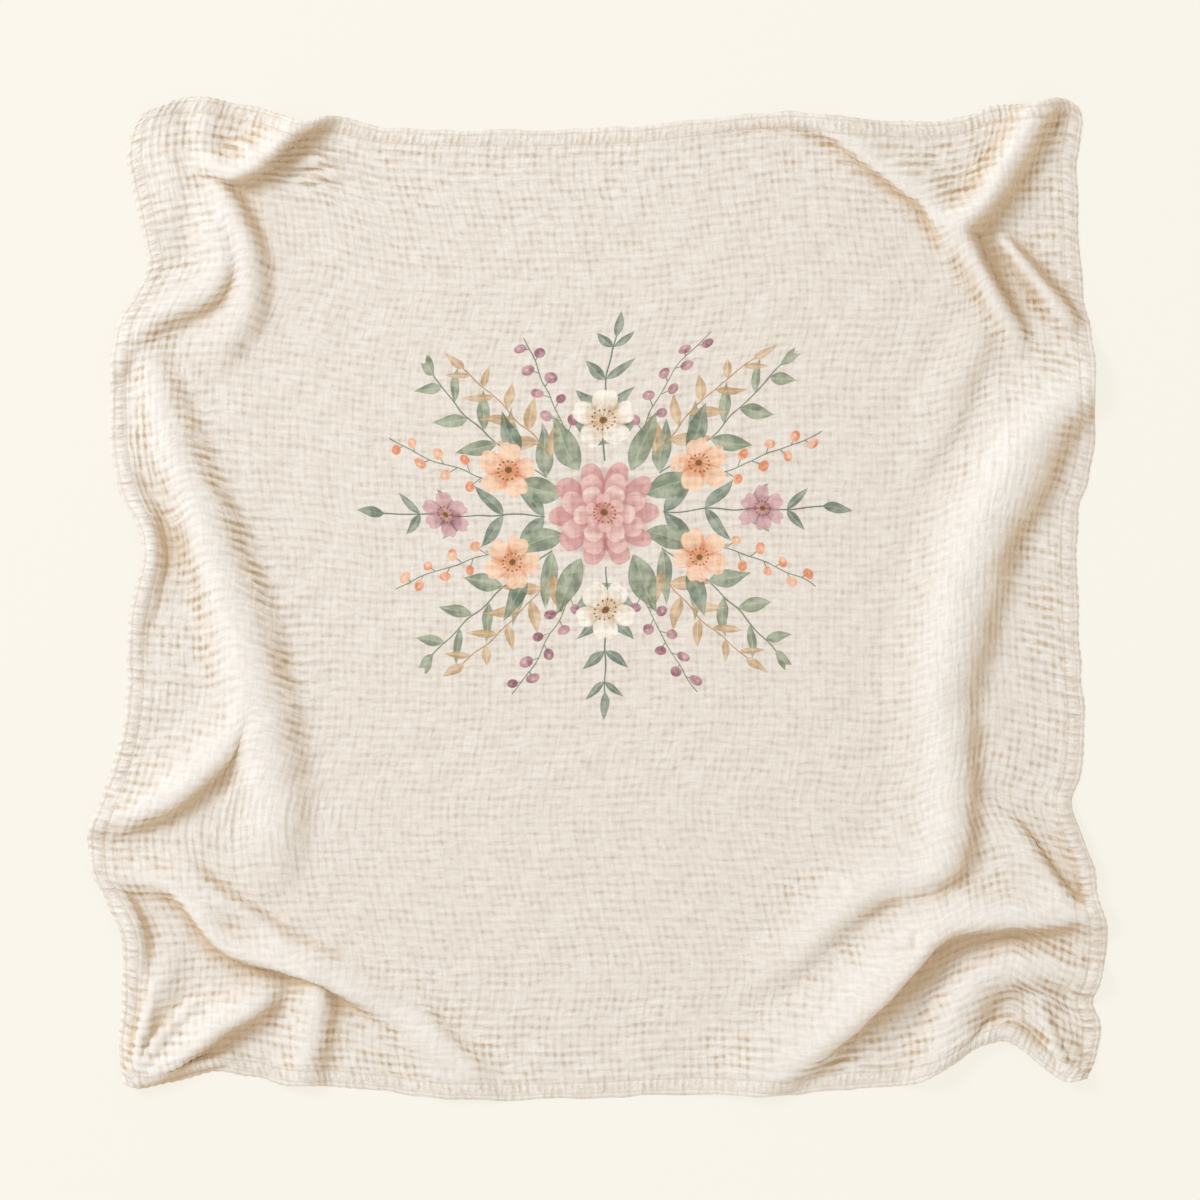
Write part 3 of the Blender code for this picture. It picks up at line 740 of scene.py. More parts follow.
def dress(points, from_left, from_top, width, depth, flat_x, flat_y):
    """Over the underside's points: (the upper side, the edge's wobble for both sides, values of FACTS)."""
    normal, along, downward = facing(points)
    height = points[..., 2]
    hollow = averaged(averaged(height, rounds=BROAD_ROUNDS) - height, rounds=FINE_ROUNDS)
    sides = np.stack([from_left, width - from_left, from_top, depth - from_top])
    to_side, to_end, to_edge = sides[:2].min(0), sides[2:].min(0), sides.min(0)
    steep = rise_between(1 - normal[..., 2], 0.02, 0.30)
    drawn = np.clip(sum(drawn_at(points, *row) for row in DRAWN), -1, 1)
    gather = gather_at(steep, hollow, to_side, to_end, drawn)
    gather = np.clip(gather * patches(flat_x, flat_y, np.sin), *GATHER_LIMITS)
    rows, columns = crinkle(flat_x, flat_y, np.sin)
    column_rise = COLUMN_RISE * rise_between(to_side, *COLUMNS_FADE)
    relief = ROW_RISE * (1 - 0.7 * drawn) * (rows**2 - 0.5) + column_rise * (1 + drawn) * (columns**2 - 0.5)
    relief = relief * gather + swell(flat_x, flat_y)
    in_hem = 1 - rise_between(to_edge, *HEM_INSIDE)
    pucker = np.where(to_side < to_end, rows, columns) ** 2 - 0.5
    relief = relief * (1 - 0.85 * in_hem) + hem_relief(to_edge, pucker)
    run = np.where(to_side < to_end, flat_y, flat_x)
    wobble = 0.8 * np.sin(run / 9.1 + 1.3 * np.sin(run / 29))
    wobble = wobble + 0.5 * np.sin(run * (2 * math.pi / ROW_PITCH) + 1.0)
    shift = np.zeros_like(points)
    for side, way in zip(sides, (-along, along, -downward, downward)):
        shift += way * (wobble * np.exp(-side / 6))[..., None]
    upper = points + shift + normal * (CLOTH_THICKNESS + relief)[..., None]
    upright = rise_between(to_end - to_side, -3, 3)
    crest = np.maximum(rise_between(-hollow, 0.4, 3.6), rise_between(height, 5, 20))
    return upper, shift, (gather, shelter(upper), crest, to_edge, upright, drawn)


def numbered(grid, first=0):
    """A number for each point of a grid, row by row."""
    rows, columns = grid.shape[:2]
    return np.arange(rows * columns).reshape(rows, columns) + first


def grid_faces(number):
    """Faces of a grid of vertex numbers, facing up."""
    corners = (number[1:, :-1], number[1:, 1:], number[:-1, 1:], number[:-1, :-1])
    return np.stack(corners, axis=-1).reshape(-1, 4)


def round_the_edge(grid):
    """The values of a grid along its edge, clockwise from its top left corner."""
    return np.concatenate([grid[0, :-1], grid[:-1, -1], grid[-1, :0:-1], grid[:0:-1, 0]])


def rim_faces(upper, under):
    """Triangles that close the sheet between its upper edge and its underside's coarser one."""
    top, low = round_the_edge(upper), round_the_edge(under)
    last, half = UNDERSIDE_STEP, UNDERSIDE_STEP // 2 + 1
    faces, places = [], []
    for k in range(len(low)):
        first = k * last
        here, after = low[k], low[(k + 1) % len(low)]
        for j in range(last):
            ends = [top[(first + j) % len(top)], top[(first + j + 1) % len(top)]]
            faces.append(ends + [here if j < half else after])
            places.append((first + j, first + j + 1, first if j < half else first + last))
        faces.append([top[(first + half) % len(top)], after, here])
        places.append((first + half, first + last, first))
    return faces, np.array(places, float) / len(top)


def bake_places(grid_x, grid_y, low, high):
    """Texture places of a grid, fitted into a rectangle of the square texture."""
    share_x = (grid_x - grid_x.min()) / np.ptp(grid_x)
    share_y = (grid_y - grid_y.min()) / np.ptp(grid_y)
    share = np.stack([share_x, share_y], axis=-1)
    return (np.array(low) + share * (np.array(high) - np.array(low))).reshape(-1, 2)


def bake_spots(flat_x, flat_y, thin, rim_places):
    """Places in the baked texture: (of the upper side's and underside's points, of the rim's corners)."""
    spots = np.concatenate([
        bake_places(flat_x, flat_y, *BAKED_UPPER),
        bake_places(flat_x[thin], flat_y[thin], *BAKED_UNDER),
    ])
    (left, low), (right, high) = BAKED_RIM
    on_upper = np.arange(len(rim_places))[:, None] % (UNDERSIDE_STEP + 1) < UNDERSIDE_STEP
    heights = np.where(on_upper, (high, high, low), (high, low, low))
    return spots, np.stack([left + (right - left) * rim_places, heights], axis=-1).reshape(-1, 2)


def placed(name, data):
    """A new object in the scene."""
    made = bpy.data.objects.new(name, data)
    bpy.context.scene.collection.objects.link(made)
    return made


def closed_sheet(upper, under, grids):
    """The cloth's two sides and rim as one closed piece, with its grids of values kept on it."""
    thin = (slice(None, None, UNDERSIDE_STEP),) * 2
    under = under[thin]
    upper_number = numbered(upper)
    under_number = numbered(under, upper_number.size)
    top_faces, low_faces = grid_faces(upper_number), grid_faces(under_number)[:, ::-1]
    rim, rim_places = rim_faces(upper_number, under_number)
    place = np.concatenate([upper.reshape(-1, 3), under.reshape(-1, 3)]) - (*MIDDLE, 0)
    mesh = bpy.data.meshes.new("crinkled_muslin")
    mesh.from_pydata((place / 1000).tolist(), [], top_faces.tolist() + low_faces.tolist() + rim)
    smooth = [True] * (len(top_faces) + len(low_faces)) + [False] * len(rim)
    mesh.polygons.foreach_set("use_smooth", smooth)
    both = [np.concatenate([grid.ravel(), grid[thin].ravel()]) for grid in grids]
    flat = np.stack(both[:2], axis=-1)
    corners = np.concatenate([top_faces.ravel(), low_faces.ravel(), np.array(rim).ravel()])
    spots, rim_spots = bake_spots(*grids[:2], thin, rim_places)
    spots = np.concatenate([spots[corners[:top_faces.size + low_faces.size]], rim_spots])
    for name, values in (("flat", flat[corners]), ("OFBake", spots)):
        layer = mesh.uv_layers.new(name=name)
        layer.uv.foreach_set("vector", values.astype(np.float32).ravel())
    for name, values in zip(FACTS, both[2:]):
        mesh.attributes.new(name, "FLOAT", "POINT").data.foreach_set("value", values.astype(np.float32))
    printed = ((flat[top_faces].mean(1) / PRINT_REACH) ** 2).sum(1) < 1
    rest = np.zeros(len(low_faces) + len(rim))
    mesh.polygons.foreach_set("material_index", np.concatenate([printed, rest]).astype(np.int32))
    mesh.update()
    return placed("crinkled_muslin", mesh)


def blanket(field):
    """(the dressed blanket as one closed sheet, the places of its stitches)."""
    points, flat_x, flat_y, width, depth = drape(field)
    middle = np.linalg.norm(points[..., :2] - PRINT_MIDDLE, axis=-1)
    middle = np.unravel_index(middle.argmin(), middle.shape)
    from_left, from_top = flat_x.copy(), -flat_y
    flat_x, flat_y = flat_x - flat_x[middle], flat_y - flat_y[middle]
    upper, shift, facts = dress(points, from_left, from_top, width, depth, flat_x, flat_y)
    cloth = closed_sheet(upper, points + shift, (flat_x, flat_y, *facts))
    return cloth, stitch_places(upper, from_left, from_top, width, depth)


def stitch_places(upper, from_left, from_top, width, depth):
    """Where the hem's stitches lie: (points, ways along the seam, ways out of the cloth), in metres."""
    lines = []
    across, down = from_left[0] / width, from_top[:, 0] / depth
    for line in HEM_STITCH_LINES:
        low_x, high_x, low_y, high_y = line, width - line, line, depth - line
        start = (low_x, low_y)
        loop = np.array([start, (high_x, low_y), (high_x, high_y), (low_x, high_y), start])
        gone = gone_along(loop)
        steps = np.linspace(0, gone[-1], round(gone[-1] / STITCH_PITCH), endpoint=False)
        lines.append(places_on(loop, gone, steps))
    column = np.interp(np.concatenate(lines)[:, 0] / width, across, np.arange(len(across)))
    row = np.interp(np.concatenate(lines)[:, 1] / depth, down, np.arange(len(down)))
    shares = column / (len(across) - 1), row / (len(down) - 1)
    normal = facing(upper)[0]
    place, out = sampled(upper, *shares), sampled(normal, *shares)
    way = np.empty_like(place)
    first = len(lines[0])
    for part in (slice(0, first), slice(first, None)):
        way[part] = np.roll(place[part], -1, axis=0) - np.roll(place[part], 1, axis=0)
    way /= np.linalg.norm(way, axis=1, keepdims=True)
    return (place - (*MIDDLE, 0)) / 1000, way, out / np.linalg.norm(out, axis=1, keepdims=True)


def one_step(operation):
    """A method that puts a shader value through one Math node."""
    return lambda value, *others: value.maths(operation, *others)


class Value:
    """A shader value that ordinary Python maths works on, each step adding one Math node."""

    def __init__(self, recipe, socket):
        self.recipe = recipe
        self.socket = socket

    def maths(self, operation, *others):
        sockets = dict(enumerate((self, *others)))
        return self.recipe.node("ShaderNodeMath", {"operation": operation}, sockets)

    __add__ = __radd__ = one_step("ADD")
    __sub__ = one_step("SUBTRACT")
    __mul__ = __rmul__ = one_step("MULTIPLY")
    __truediv__ = one_step("DIVIDE")
    __pow__ = one_step("POWER")
    __abs__ = one_step("ABSOLUTE")
    sin = one_step("SINE")
    floor = one_step("FLOOR")
    fract = one_step("FRACT")
    root = one_step("SQRT")
    least = one_step("MINIMUM")
    most = one_step("MAXIMUM")

    def __rsub__(self, other):
        return self.recipe.node("ShaderNodeMath", {"operation": "SUBTRACT"}, {0: other, 1: self})

    def rise(self, low, high):
        """Nought below low, one above high and a smooth rise between, or a fall where low is the higher."""
        sockets = {"Value": self, "From Min": low, "From Max": high}
        return self.recipe.node("ShaderNodeMapRange", {"interpolation_type": "SMOOTHSTEP"}, sockets)


class Recipe:
    """A material under construction, whose nodes are all made by one method."""

    def __init__(self, name):
        self.material = bpy.data.materials.new(name)
        self.material.use_nodes = True
        self.tree = self.material.node_tree
        self.shader = self.tree.nodes["Principled BSDF"]

    def node(self, kind, settings=None, sockets=None, out=0):
        """Adds a node with its settings and socket values, and gives one of its outputs."""
        made = self.tree.nodes.new(kind)
        for name, setting in (settings or {}).items():
            setattr(made, name, setting)
        self.plug(made, sockets or {})
        same = [socket for socket in made.outputs if socket.identifier == out]
        return Value(self, same[0] if same else made.outputs[out])

    def plug(self, node, sockets):
        """Links or sets sockets, each named by its number, name or identifier."""
        for name, value in sockets.items():
            same = [socket for socket in node.inputs if socket.identifier == name]
            socket = same[0] if same else node.inputs[name]
            if isinstance(value, Value):
                self.tree.links.new(value.socket, socket)
            else:
                socket.default_value = value

    def mixed(self, share, below, above, blend="MIX"):
        """One colour over another by a share."""
        settings = {"data_type": "RGBA", "blend_type": blend}
        sockets = {"Factor_Float": share, "A_Color": below, "B_Color": above}
        return self.node("ShaderNodeMix", settings, sockets, out="Result_Color")

    def raised(self, height, strength, distance):
        """The normal of a surface with fine relief."""
        sockets = {"Strength": strength, "Distance": distance, "Height": height}
        return self.node("ShaderNodeBump", {}, sockets, out="Normal")


def turned(x, y, middle, degrees):
    """Flat places seen from a motif's own middle, with its own x along its heading."""
    ahead, aside = math.cos(math.radians(degrees)), math.sin(math.radians(degrees))
    start_x = middle[0] * ahead + middle[1] * aside
    start_y = middle[1] * ahead - middle[0] * aside
    return x * ahead + y * aside - start_x, y * ahead - x * aside - start_y


def leaf(cloth, x, y, length, breadth, dyes, wash):
    """One long leaf from the motif's middle, darker on one side of a pale vein."""
    part = (x / length).least(1.0)
    inside = part * (1 - part) * (1.5 - part) * (1.9 * breadth) - abs(y)
    return leaf_colour(cloth, inside, y, dyes, wash)


def leaf_colour(cloth, inside, y, dyes, wash):
    """A leaf's watercolour over the cloth, from how far inside its outline each place is."""
    recipe = cloth.recipe
    pale, deep = dyes
    shade = wash * 0.75 + y.rise(-0.6, 0.6) * 0.3 + inside.rise(2.6, 0.4) * 0.25
    vein = abs(y).rise(0.85, 0.25) * 0.5
    colour = recipe.mixed(shade - vein, pale, deep)
    return recipe.mixed(inside.rise(0.0, 0.9) * PRINT_STRENGTH, cloth, colour)


def off_stem(x, y, length, pairs):
    """What slants off a stem: (the pair's number, across it, out along it, whether there is any)."""
    gap = length / pairs
    side = y.rise(-0.01, 0.01) * (SIDE_STEP * gap)
    along = (x - abs(y) * SLANT[0] + side) / gap
    count = along.floor()
    across = (along - count - 0.5) * (gap * SLANT[1])
    out = abs(y) / SLANT[1] + across * SLANT[0]
    return count, across, out, along.rise(0.0, 0.02) * along.rise(pairs + 0.02, pairs)


def leafy_sprig(cloth, x, y, length, pairs, size, bend, dyes, wash):
    """A bent stem with pairs of slanting leaves that grow smaller to its tip."""
    y = y - x * x * bend
    count, across, out, ends = off_stem(x, y, length, pairs)
    grown = size - count * (0.55 * size / pairs)
    part = (out / grown).least(1.0)
    inside = part * (1 - part) * (1.5 - part) * grown * 0.62 - abs(across)
    inside = (inside + 4) * ends - 4
    cloth = leaf_colour(cloth, inside, across, dyes, wash)
    stem = abs(y).rise(1.1, 0.4) * x.rise(-1, 0) * x.rise(length - 2, length - 4)
    cloth = cloth.recipe.mixed(stem * PRINT_STRENGTH, cloth, dyes[1])
    return leaf(cloth, x - (length - 6), y, size * 0.62, size * 0.24, dyes, wash)


def berry_sprig(cloth, x, y, length, pairs, size, bend, dyes, stem_dye, wash):
    """A bent stem with thin stalks that each end in a round berry."""
    recipe = cloth.recipe
    y = y - x * x * bend
    count, across, out, ends = off_stem(x, y, length, pairs)
    beyond = out - (BERRY_STALK[0] - count * (BERRY_STALK[1] / pairs))
    stalk = abs(across).rise(0.8, 0.25) * beyond.rise(0.5, -0.5) * ends
    stem = abs(y).rise(0.9, 0.3) * x.rise(-1, 0) * x.rise(length + 4, length + 2)
    cloth = recipe.mixed(stem.most(stalk) * PRINT_STRENGTH, cloth, stem_dye)
    away = (across * across + beyond * beyond).root()
    glint = (across * across + (beyond - 1.2) * (beyond - 1.2)).root().rise(2.2, 0.4) * 0.5
    colour = recipe.mixed(wash * 0.8 + 0.3 - glint, *dyes)
    return recipe.mixed(away.rise(size + 0.4, size - 0.4) * ends * PRINT_STRENGTH, cloth, colour)


def petals(cloth, away, angle, count, turn, reach, dyes, wash, notch=0.0):
    """One ring of round petals, each overlapping the next, streaked from its root."""
    recipe = cloth.recipe
    step = angle * (count / (2 * math.pi)) + turn
    part = step.fract() - 0.5
    rounded = 1 - abs(part) ** 2.6 * 2.4 - abs(part).rise(0.16, 0.0) * notch
    inside = rounded * reach - away
    depth = away / reach
    streak = (part * 46 + depth * 3 + step.floor() * 2.1).sin() * 0.5 + 0.5
    shade = depth.rise(0.85, 0.20) * 0.6 - part.rise(-0.5, -0.28) * 0.25 + part.rise(0.30, 0.5) * 0.6
    shade = shade + wash * 0.4 + streak * depth.rise(0.95, 0.30) * 0.24
    shade = shade + inside.rise(2.0, 0.3) * 0.34 - 0.12
    colour = recipe.mixed(shade, *dyes)
    return recipe.mixed(inside.rise(0.0, 1.0) * PRINT_STRENGTH, cloth, colour)


def stamens(cloth, away, angle, count, reach, dyes):
    """A flower's eye: a ring of dots on fine threads round a dark middle."""
    recipe = cloth.recipe
    dot, thread, middle = dyes
    part = (angle * (count / (2 * math.pi))).fract() - 0.5
    aside = abs(part) * away * (2 * math.pi / count)
    threads = aside.rise(0.55, 0.15) * away.rise(reach, reach - 0.6)
    cloth = recipe.mixed(threads * 0.7, cloth, thread)
    beyond = away - reach
    spot = (aside * aside + beyond * beyond).root()
    cloth = recipe.mixed(spot.rise(1.35, 0.75) * PRINT_STRENGTH, cloth, dot)
    return recipe.mixed(away.rise(reach * 0.42, reach * 0.28) * 0.9, cloth, middle)


def polar(x, y):
    """Distance and angle of a place from a motif's middle."""
    return (x * x + y * y).root(), y.maths("ARCTAN2", x)


def blossom(cloth, x, y, count, reach, turn, dyes, wash):
    """An open flower of one ring of notched petals with stamens."""
    away, angle = polar(x, y)
    cloth = petals(cloth, away, angle, count, turn, reach, dyes, wash, notch=0.07)
    return stamens(cloth, away, angle, 14, reach * 0.32, STAMEN_DYES)


def rosette(cloth, x, y, wash):
    """The large middle flower: rings of petals, each shading the one below it."""
    recipe = cloth.recipe
    away, angle = polar(x, y)
    for number, (count, turn, reach, dyes) in enumerate(ROSETTE_RINGS):
        if number:
            cloth = recipe.mixed((away - reach).rise(7.0, -1.0) * 0.38, cloth, ROSE_SHADE)
        cloth = petals(cloth, away, angle, count, turn, reach, dyes, wash)
    return stamens(cloth, away, angle, 17, 10.5, STAMEN_DYES)


def posy(recipe, cloth, place_x, place_y):
    """The print: a posy with the same quarter four times over, its colours uneven like watercolour."""
    spot = recipe.node("ShaderNodeCombineXYZ", {}, {"X": place_x, "Y": place_y})
    blots = {"Vector": spot, "Scale": 0.055, "Detail": 2.0, "Roughness": 0.6}
    blot = recipe.node("ShaderNodeTexNoise", FLAT_NOISE, blots)
    wash = blot.rise(0.34, 0.68)
    wavers = {"Vector": spot, "Scale": 0.03, "Detail": 0.0}
    waver = recipe.node("ShaderNodeTexNoise", FLAT_NOISE, wavers, out="Color")
    parts = recipe.node("ShaderNodeSeparateColor", {}, {"Color": waver}).socket.node.outputs
    x = abs(place_x + (Value(recipe, parts[0]) - 0.5) * 6.0)
    y = abs(place_y + (Value(recipe, parts[1]) - 0.5) * 6.0)
    for length, pairs, size, middle, degrees, bend, dyes in SPRIGS:
        cloth = leafy_sprig(cloth, *turned(x, y, middle, degrees), length, pairs, size, bend, dyes, wash)
    for length, pairs, size, middle, degrees, bend, dyes in BERRY_SPRIGS:
        own = turned(x, y, middle, degrees)
        cloth = berry_sprig(cloth, *own, length, pairs, size, bend, dyes, SAGE[1], wash)
    for length, breadth, middle, degrees, dyes in LEAVES:
        cloth = leaf(cloth, *turned(x, y, middle, degrees), length, breadth, dyes, wash)
    for count, reach, middle, turn, dyes in BLOSSOMS:
        cloth = blossom(cloth, x - middle[0], y - middle[1], count, reach, turn, dyes, wash)
    return rosette(cloth, x, y, wash)


def muslin(name, printed):
    """Natural double gauze: crinkled in rows and columns, with warm painted shade in its grooves and
    hollows, a painted highlight on its crests, and matt.
    """
    recipe = Recipe(name)
    flat = recipe.node("ShaderNodeUVMap", {"uv_map": "flat"})
    axes = recipe.node("ShaderNodeSeparateXYZ", {}, {"Vector": flat}).socket.node.outputs
    x, y = Value(recipe, axes["X"]), Value(recipe, axes["Y"])
    gather, shut, crest, to_edge, upright, drawn = (
        recipe.node("ShaderNodeAttribute", {"attribute_name": fact}, out="Fac") for fact in FACTS
    )
    rows, columns = crinkle(x, y, Value.sin)
    inner = to_edge.rise(15.0, 22.0)
    across_hem = 1 - (1 - inner) * (1 - upright)
    down_hem = 1 - (1 - inner) * upright
    broken_rows = stretched_noise(recipe, x, y, *ROW_BREAKS).rise(0.30, 0.64) * across_hem
    broken_columns = stretched_noise(recipe, x, y, *COLUMN_BREAKS).rise(0.32, 0.64) * down_hem
    row_groove = (1 - rows * rows) ** 1.2 * broken_rows * (1 - drawn * 0.9)
    column_groove = (1 - columns * columns) ** 1.2 * broken_columns * (1 + drawn * 0.95)
    threads_across = stretched_noise(recipe, x, y, *THREADS_ACROSS)
    threads_down = stretched_noise(recipe, x, y, *THREADS_DOWN)
    seam, between = hem_marks(recipe, x, y, to_edge, upright, threads_across)
    height = (row_groove * -1.3 - column_groove * 0.8) * (gather + 0.20) * (1 - crest * 0.5)
    height = height + (threads_across + threads_down) * (gather * 0.4 + 0.45)
    height = height - seam * 0.4 - between * 0.7
    # Painted highlight: crests and the puffs of gathered cloth are made paler, as if they caught more
    # light.
    pale = (crest * 0.5 + (gather - 0.14) * 1.5 + broken_rows * 0.1).least(1.0)
    colour = recipe.mixed(pale, CLOTH_COLOUR, CLOTH_PAINTED_HIGHLIGHT)
    if printed:
        colour = posy(recipe, colour, x, y)
    # Painted shade: the crinkle's grooves, the hem's seams and the gaps between its tucks are darkened and
    # warmed, more where folds shut the cloth in, and smoothly, without grooves, in deep pockets.
    grooves = row_groove * (shut * 0.3 + 0.60) + column_groove * 0.42
    grooves = grooves + row_groove * column_groove * (0.75 - abs(drawn) * 0.6)
    grooves = grooves * (gather * 1.15 + 0.26) * (1 - crest * 0.55) + seam * 0.6 + between * between * 0.35
    grooves = grooves * shut.rise(1.35, 0.5)
    groove_painted_shade = recipe.mixed(gather.rise(0.18, 0.50), OPEN_GROOVE_PAINTED_SHADE, GATHERED_GROOVE_PAINTED_SHADE)
    colour = recipe.mixed(grooves, colour, groove_painted_shade, "MULTIPLY")
    streaks = threads_across * (1.4 - drawn * 0.6) + threads_down * (0.8 + drawn * 0.6)
    streaks = (streaks - 0.85) * 0.65
    colour = recipe.mixed(streaks.most(0.0), colour, THREAD_COLOUR, "MULTIPLY")
    # Painted shade in hollows and on the side away from the lamp, by how far folds shut each point in.
    colour = recipe.mixed(shut * shut * 0.6 + shut * 0.35, colour, HOLLOW_PAINTED_SHADE, "MULTIPLY")
    recipe.plug(recipe.shader, {"Base Color": colour, "Normal": recipe.raised(height, 1.0, 0.001)})
    recipe.plug(recipe.shader, {"Roughness": 0.92, "Specular IOR Level": 0.2})
    recipe.plug(recipe.shader, {"Sheen Weight": 0.12, "Sheen Roughness": 0.5})
    return recipe.material


def hem_marks(recipe, x, y, to_edge, upright, waver):
    """The hem's seams and the small tucks between them, each from nought to about one: masks for their
    relief and for painted shade.
    """
    tuck, upright_tuck = ((place * (math.pi / TUCK_PITCH) + waver * 2).sin() for place in (x, y))
    tuck = tuck * (1 - upright) + upright_tuck * upright
    dashes = stretched_noise(recipe, x, y, *DASHES).rise(0.34, 0.60)
    between = (1 - tuck * tuck) * to_edge.rise(3.0, 9.0) * to_edge.rise(17.0, 14.0) * (dashes * 0.6 + 0.4)
    outer_seam, inner_seam = (abs(to_edge - line).rise(1.9, 0.2) for line in HEM_STITCH_LINES)
    broken = dashes * 0.4 + 0.15 + (1 - tuck * tuck) * 0.2
    seam = (outer_seam + inner_seam) * broken * (to_edge.rise(2.0, 14.0) * 0.5 + 0.5)
    return seam, between


def stretched_noise(recipe, x, y, scale_x, scale_y, detail):
    """Soft noise over the flat cloth with its own grain along each way."""
    place = {"X": x * scale_x + 91 * scale_y, "Y": y * scale_y + 57 * scale_x}
    spot = recipe.node("ShaderNodeCombineXYZ", {}, place)
    return recipe.node("ShaderNodeTexNoise", FLAT_NOISE, {"Vector": spot, "Scale": 1.0, "Detail": detail})


def thread_cotton():
    """The hem's sewing thread: twisted natural cotton."""
    recipe = Recipe("hem_thread_cotton")
    place = recipe.node("ShaderNodeTexCoord", {}, out="Object")
    twist = recipe.node("ShaderNodeTexNoise", {}, {"Vector": place, "Scale": 1400.0, "Detail": 2.0})
    colour = recipe.mixed(twist.rise(0.3, 0.7), *COTTON)
    recipe.plug(recipe.shader, {"Base Color": colour, "Normal": recipe.raised(twist, 0.6, 0.0002)})
    recipe.plug(recipe.shader, {"Roughness": 0.7, "Sheen Weight": 0.1})
    return recipe.material


def stitch_tree(cotton):
    """Geometry Nodes that put a short round stitch at every point, lying along the seam."""
    tree = bpy.data.node_groups.new("hem_stitches", "GeometryNodeTree")
    tree.interface.new_socket("Seam", in_out="INPUT", socket_type="NodeSocketGeometry")
    for name, size in (("Stitch length", STITCH_LENGTH), ("Thread thickness", THREAD_THICKNESS)):
        socket = tree.interface.new_socket(name, in_out="INPUT", socket_type="NodeSocketFloat")
        socket.default_value = size / 1000
    tree.interface.new_socket("Stitches", in_out="OUTPUT", socket_type="NodeSocketGeometry")
    start = tree.nodes.new("NodeGroupInput")
    shape = tree.nodes.new("GeometryNodeMeshUVSphere")
    for name, value in (("Segments", STITCH_SIDES), ("Rings", STITCH_RINGS), ("Radius", 0.5)):
        shape.inputs[name].default_value = value
    way, out = (tree.nodes.new("GeometryNodeInputNamedAttribute") for _ in range(2))
    for node, name in ((way, "way"), (out, "out")):
        node.data_type = "FLOAT_VECTOR"
        node.inputs["Name"].default_value = name
    along = tree.nodes.new("FunctionNodeAlignRotationToVector")
    along.axis = "X"
    upright = tree.nodes.new("FunctionNodeAlignRotationToVector")
    upright.axis = "Z"
    upright.pivot_axis = "X"
    size = tree.nodes.new("ShaderNodeCombineXYZ")
    put = tree.nodes.new("GeometryNodeInstanceOnPoints")
    real = tree.nodes.new("GeometryNodeRealizeInstances")
    smooth = tree.nodes.new("GeometryNodeSetShadeSmooth")
    finish = tree.nodes.new("GeometryNodeSetMaterial")
    finish.inputs["Material"].default_value = cotton
    end = tree.nodes.new("NodeGroupOutput")
    for source, target in (
        (start.outputs["Seam"], put.inputs["Points"]),
        (shape.outputs["Mesh"], put.inputs["Instance"]),
        (way.outputs["Attribute"], along.inputs["Vector"]),
        (along.outputs["Rotation"], upright.inputs["Rotation"]),
        (out.outputs["Attribute"], upright.inputs["Vector"]),
        (upright.outputs["Rotation"], put.inputs["Rotation"]),
        (start.outputs["Stitch length"], size.inputs["X"]),
        (start.outputs["Thread thickness"], size.inputs["Y"]),
        (start.outputs["Thread thickness"], size.inputs["Z"]),
        (size.outputs["Vector"], put.inputs["Scale"]),
        (put.outputs["Instances"], real.inputs["Geometry"]),
        (real.outputs["Geometry"], smooth.inputs["Geometry"]),
        (smooth.outputs["Geometry"], finish.inputs["Geometry"]),
        (finish.outputs["Geometry"], end.inputs["Stitches"]),
    ):
        tree.links.new(source, target)
    return tree


def hem_stitches(seams):
    """Two rows of stitches round the blanket, set along the hem's seams."""
    place, way, out = seams
    mesh = bpy.data.meshes.new("hem_stitch_places")
    mesh.from_pydata(place.tolist(), [], [])
    for name, values in (("way", way), ("out", out)):
        attribute = mesh.attributes.new(name, "FLOAT_VECTOR", "POINT")
        attribute.data.foreach_set("vector", values.astype(np.float32).ravel())
    holder = placed("hem_stitch_places", mesh)
    sewing = holder.modifiers.new("sewing", "NODES")
    sewing.node_group = stitch_tree(thread_cotton())
    made = bpy.data.meshes.new_from_object(holder.evaluated_get(bpy.context.evaluated_depsgraph_get()))
    bpy.data.objects.remove(holder)
    made.name = "hem_stitches"
    return placed("hem_stitches", made)


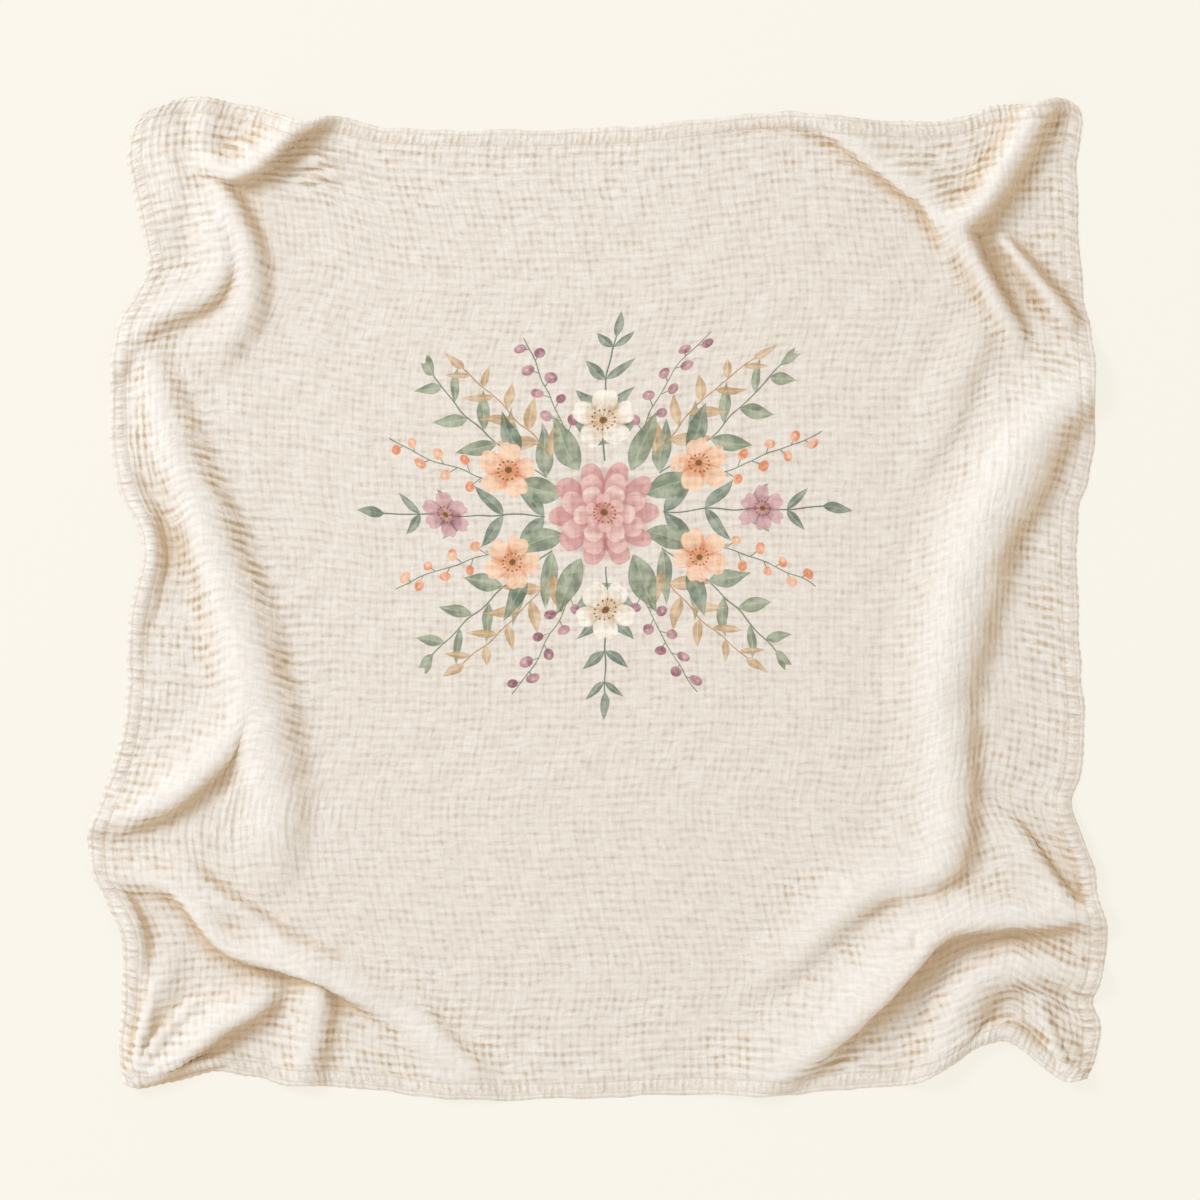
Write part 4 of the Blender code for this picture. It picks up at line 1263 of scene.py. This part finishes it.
def floor():
    """A wide plain pale floor that glows a little, as a studio sweep lit from all round does."""
    mesh = bpy.data.meshes.new("floor")
    corners = [(x * FLOOR_REACH, y * FLOOR_REACH, 0) for x, y in ((-1, -1), (1, -1), (1, 1), (-1, 1))]
    mesh.from_pydata(corners, [], [(0, 1, 2, 3)])
    recipe = Recipe("pale_floor")
    shade = tuple(FLOOR_SHARE * step for step in FLOOR_COLOUR[:3])
    recipe.plug(recipe.shader, {"Base Color": (*shade, 1.0), "Roughness": 1.0, "Specular IOR Level": 0.0})
    recipe.plug(recipe.shader, {"Emission Color": FLOOR_COLOUR, "Emission Strength": FLOOR_GLOW})
    mesh.materials.append(recipe.material)
    made = placed("floor", mesh)


def light_the_scene():
    """Soft light from all round, with a broad lamp from the upper left."""
    world = bpy.data.worlds.new("studio")
    world.use_nodes = True
    room = world.node_tree.nodes["Background"].inputs
    room["Color"].default_value = (*ROOM_COLOUR, 1.0)
    room["Strength"].default_value = ROOM_STRENGTH
    bpy.context.scene.world = world
    lamp = bpy.data.lights.new("soft_lamp", "AREA")
    lamp.shape = "DISK"
    lamp.size = LAMP_SIZE
    lamp.energy = LAMP_STRENGTH * math.pi * LAMP_DISTANCE**2
    lamp.color = LAMP_COLOUR
    way = Vector(LAMP_WAY)
    holder = placed("soft_lamp", lamp)
    holder.location = way.normalized() * LAMP_DISTANCE
    holder.rotation_euler = way.to_track_quat("Z", "Y").to_euler()
    holder.visible_camera = False


def look_down():
    """A long lens straight above the blanket's middle, taking in 1.2 m each way."""
    camera = bpy.data.cameras.new("camera")
    camera.lens = LENS
    camera.clip_end = 100.0
    holder = placed("camera", camera)
    holder.location = (-MIDDLE[0] / 1000, -MIDDLE[1] / 1000, VIEW_WIDTH * LENS / camera.sensor_width)
    bpy.context.scene.camera = holder
    bpy.context.scene.view_settings.view_transform = "Standard"


look_down()
light_the_scene()
floor()
cloth, seams = blanket(fold_field())
cloth.data.materials.append(muslin("crinkled_gauze", False))
cloth.data.materials.append(muslin("printed_gauze", True))
stitches = hem_stitches(seams)
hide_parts("muslin_cloth")
for piece in (cloth, stitches):
    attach(piece, "root")
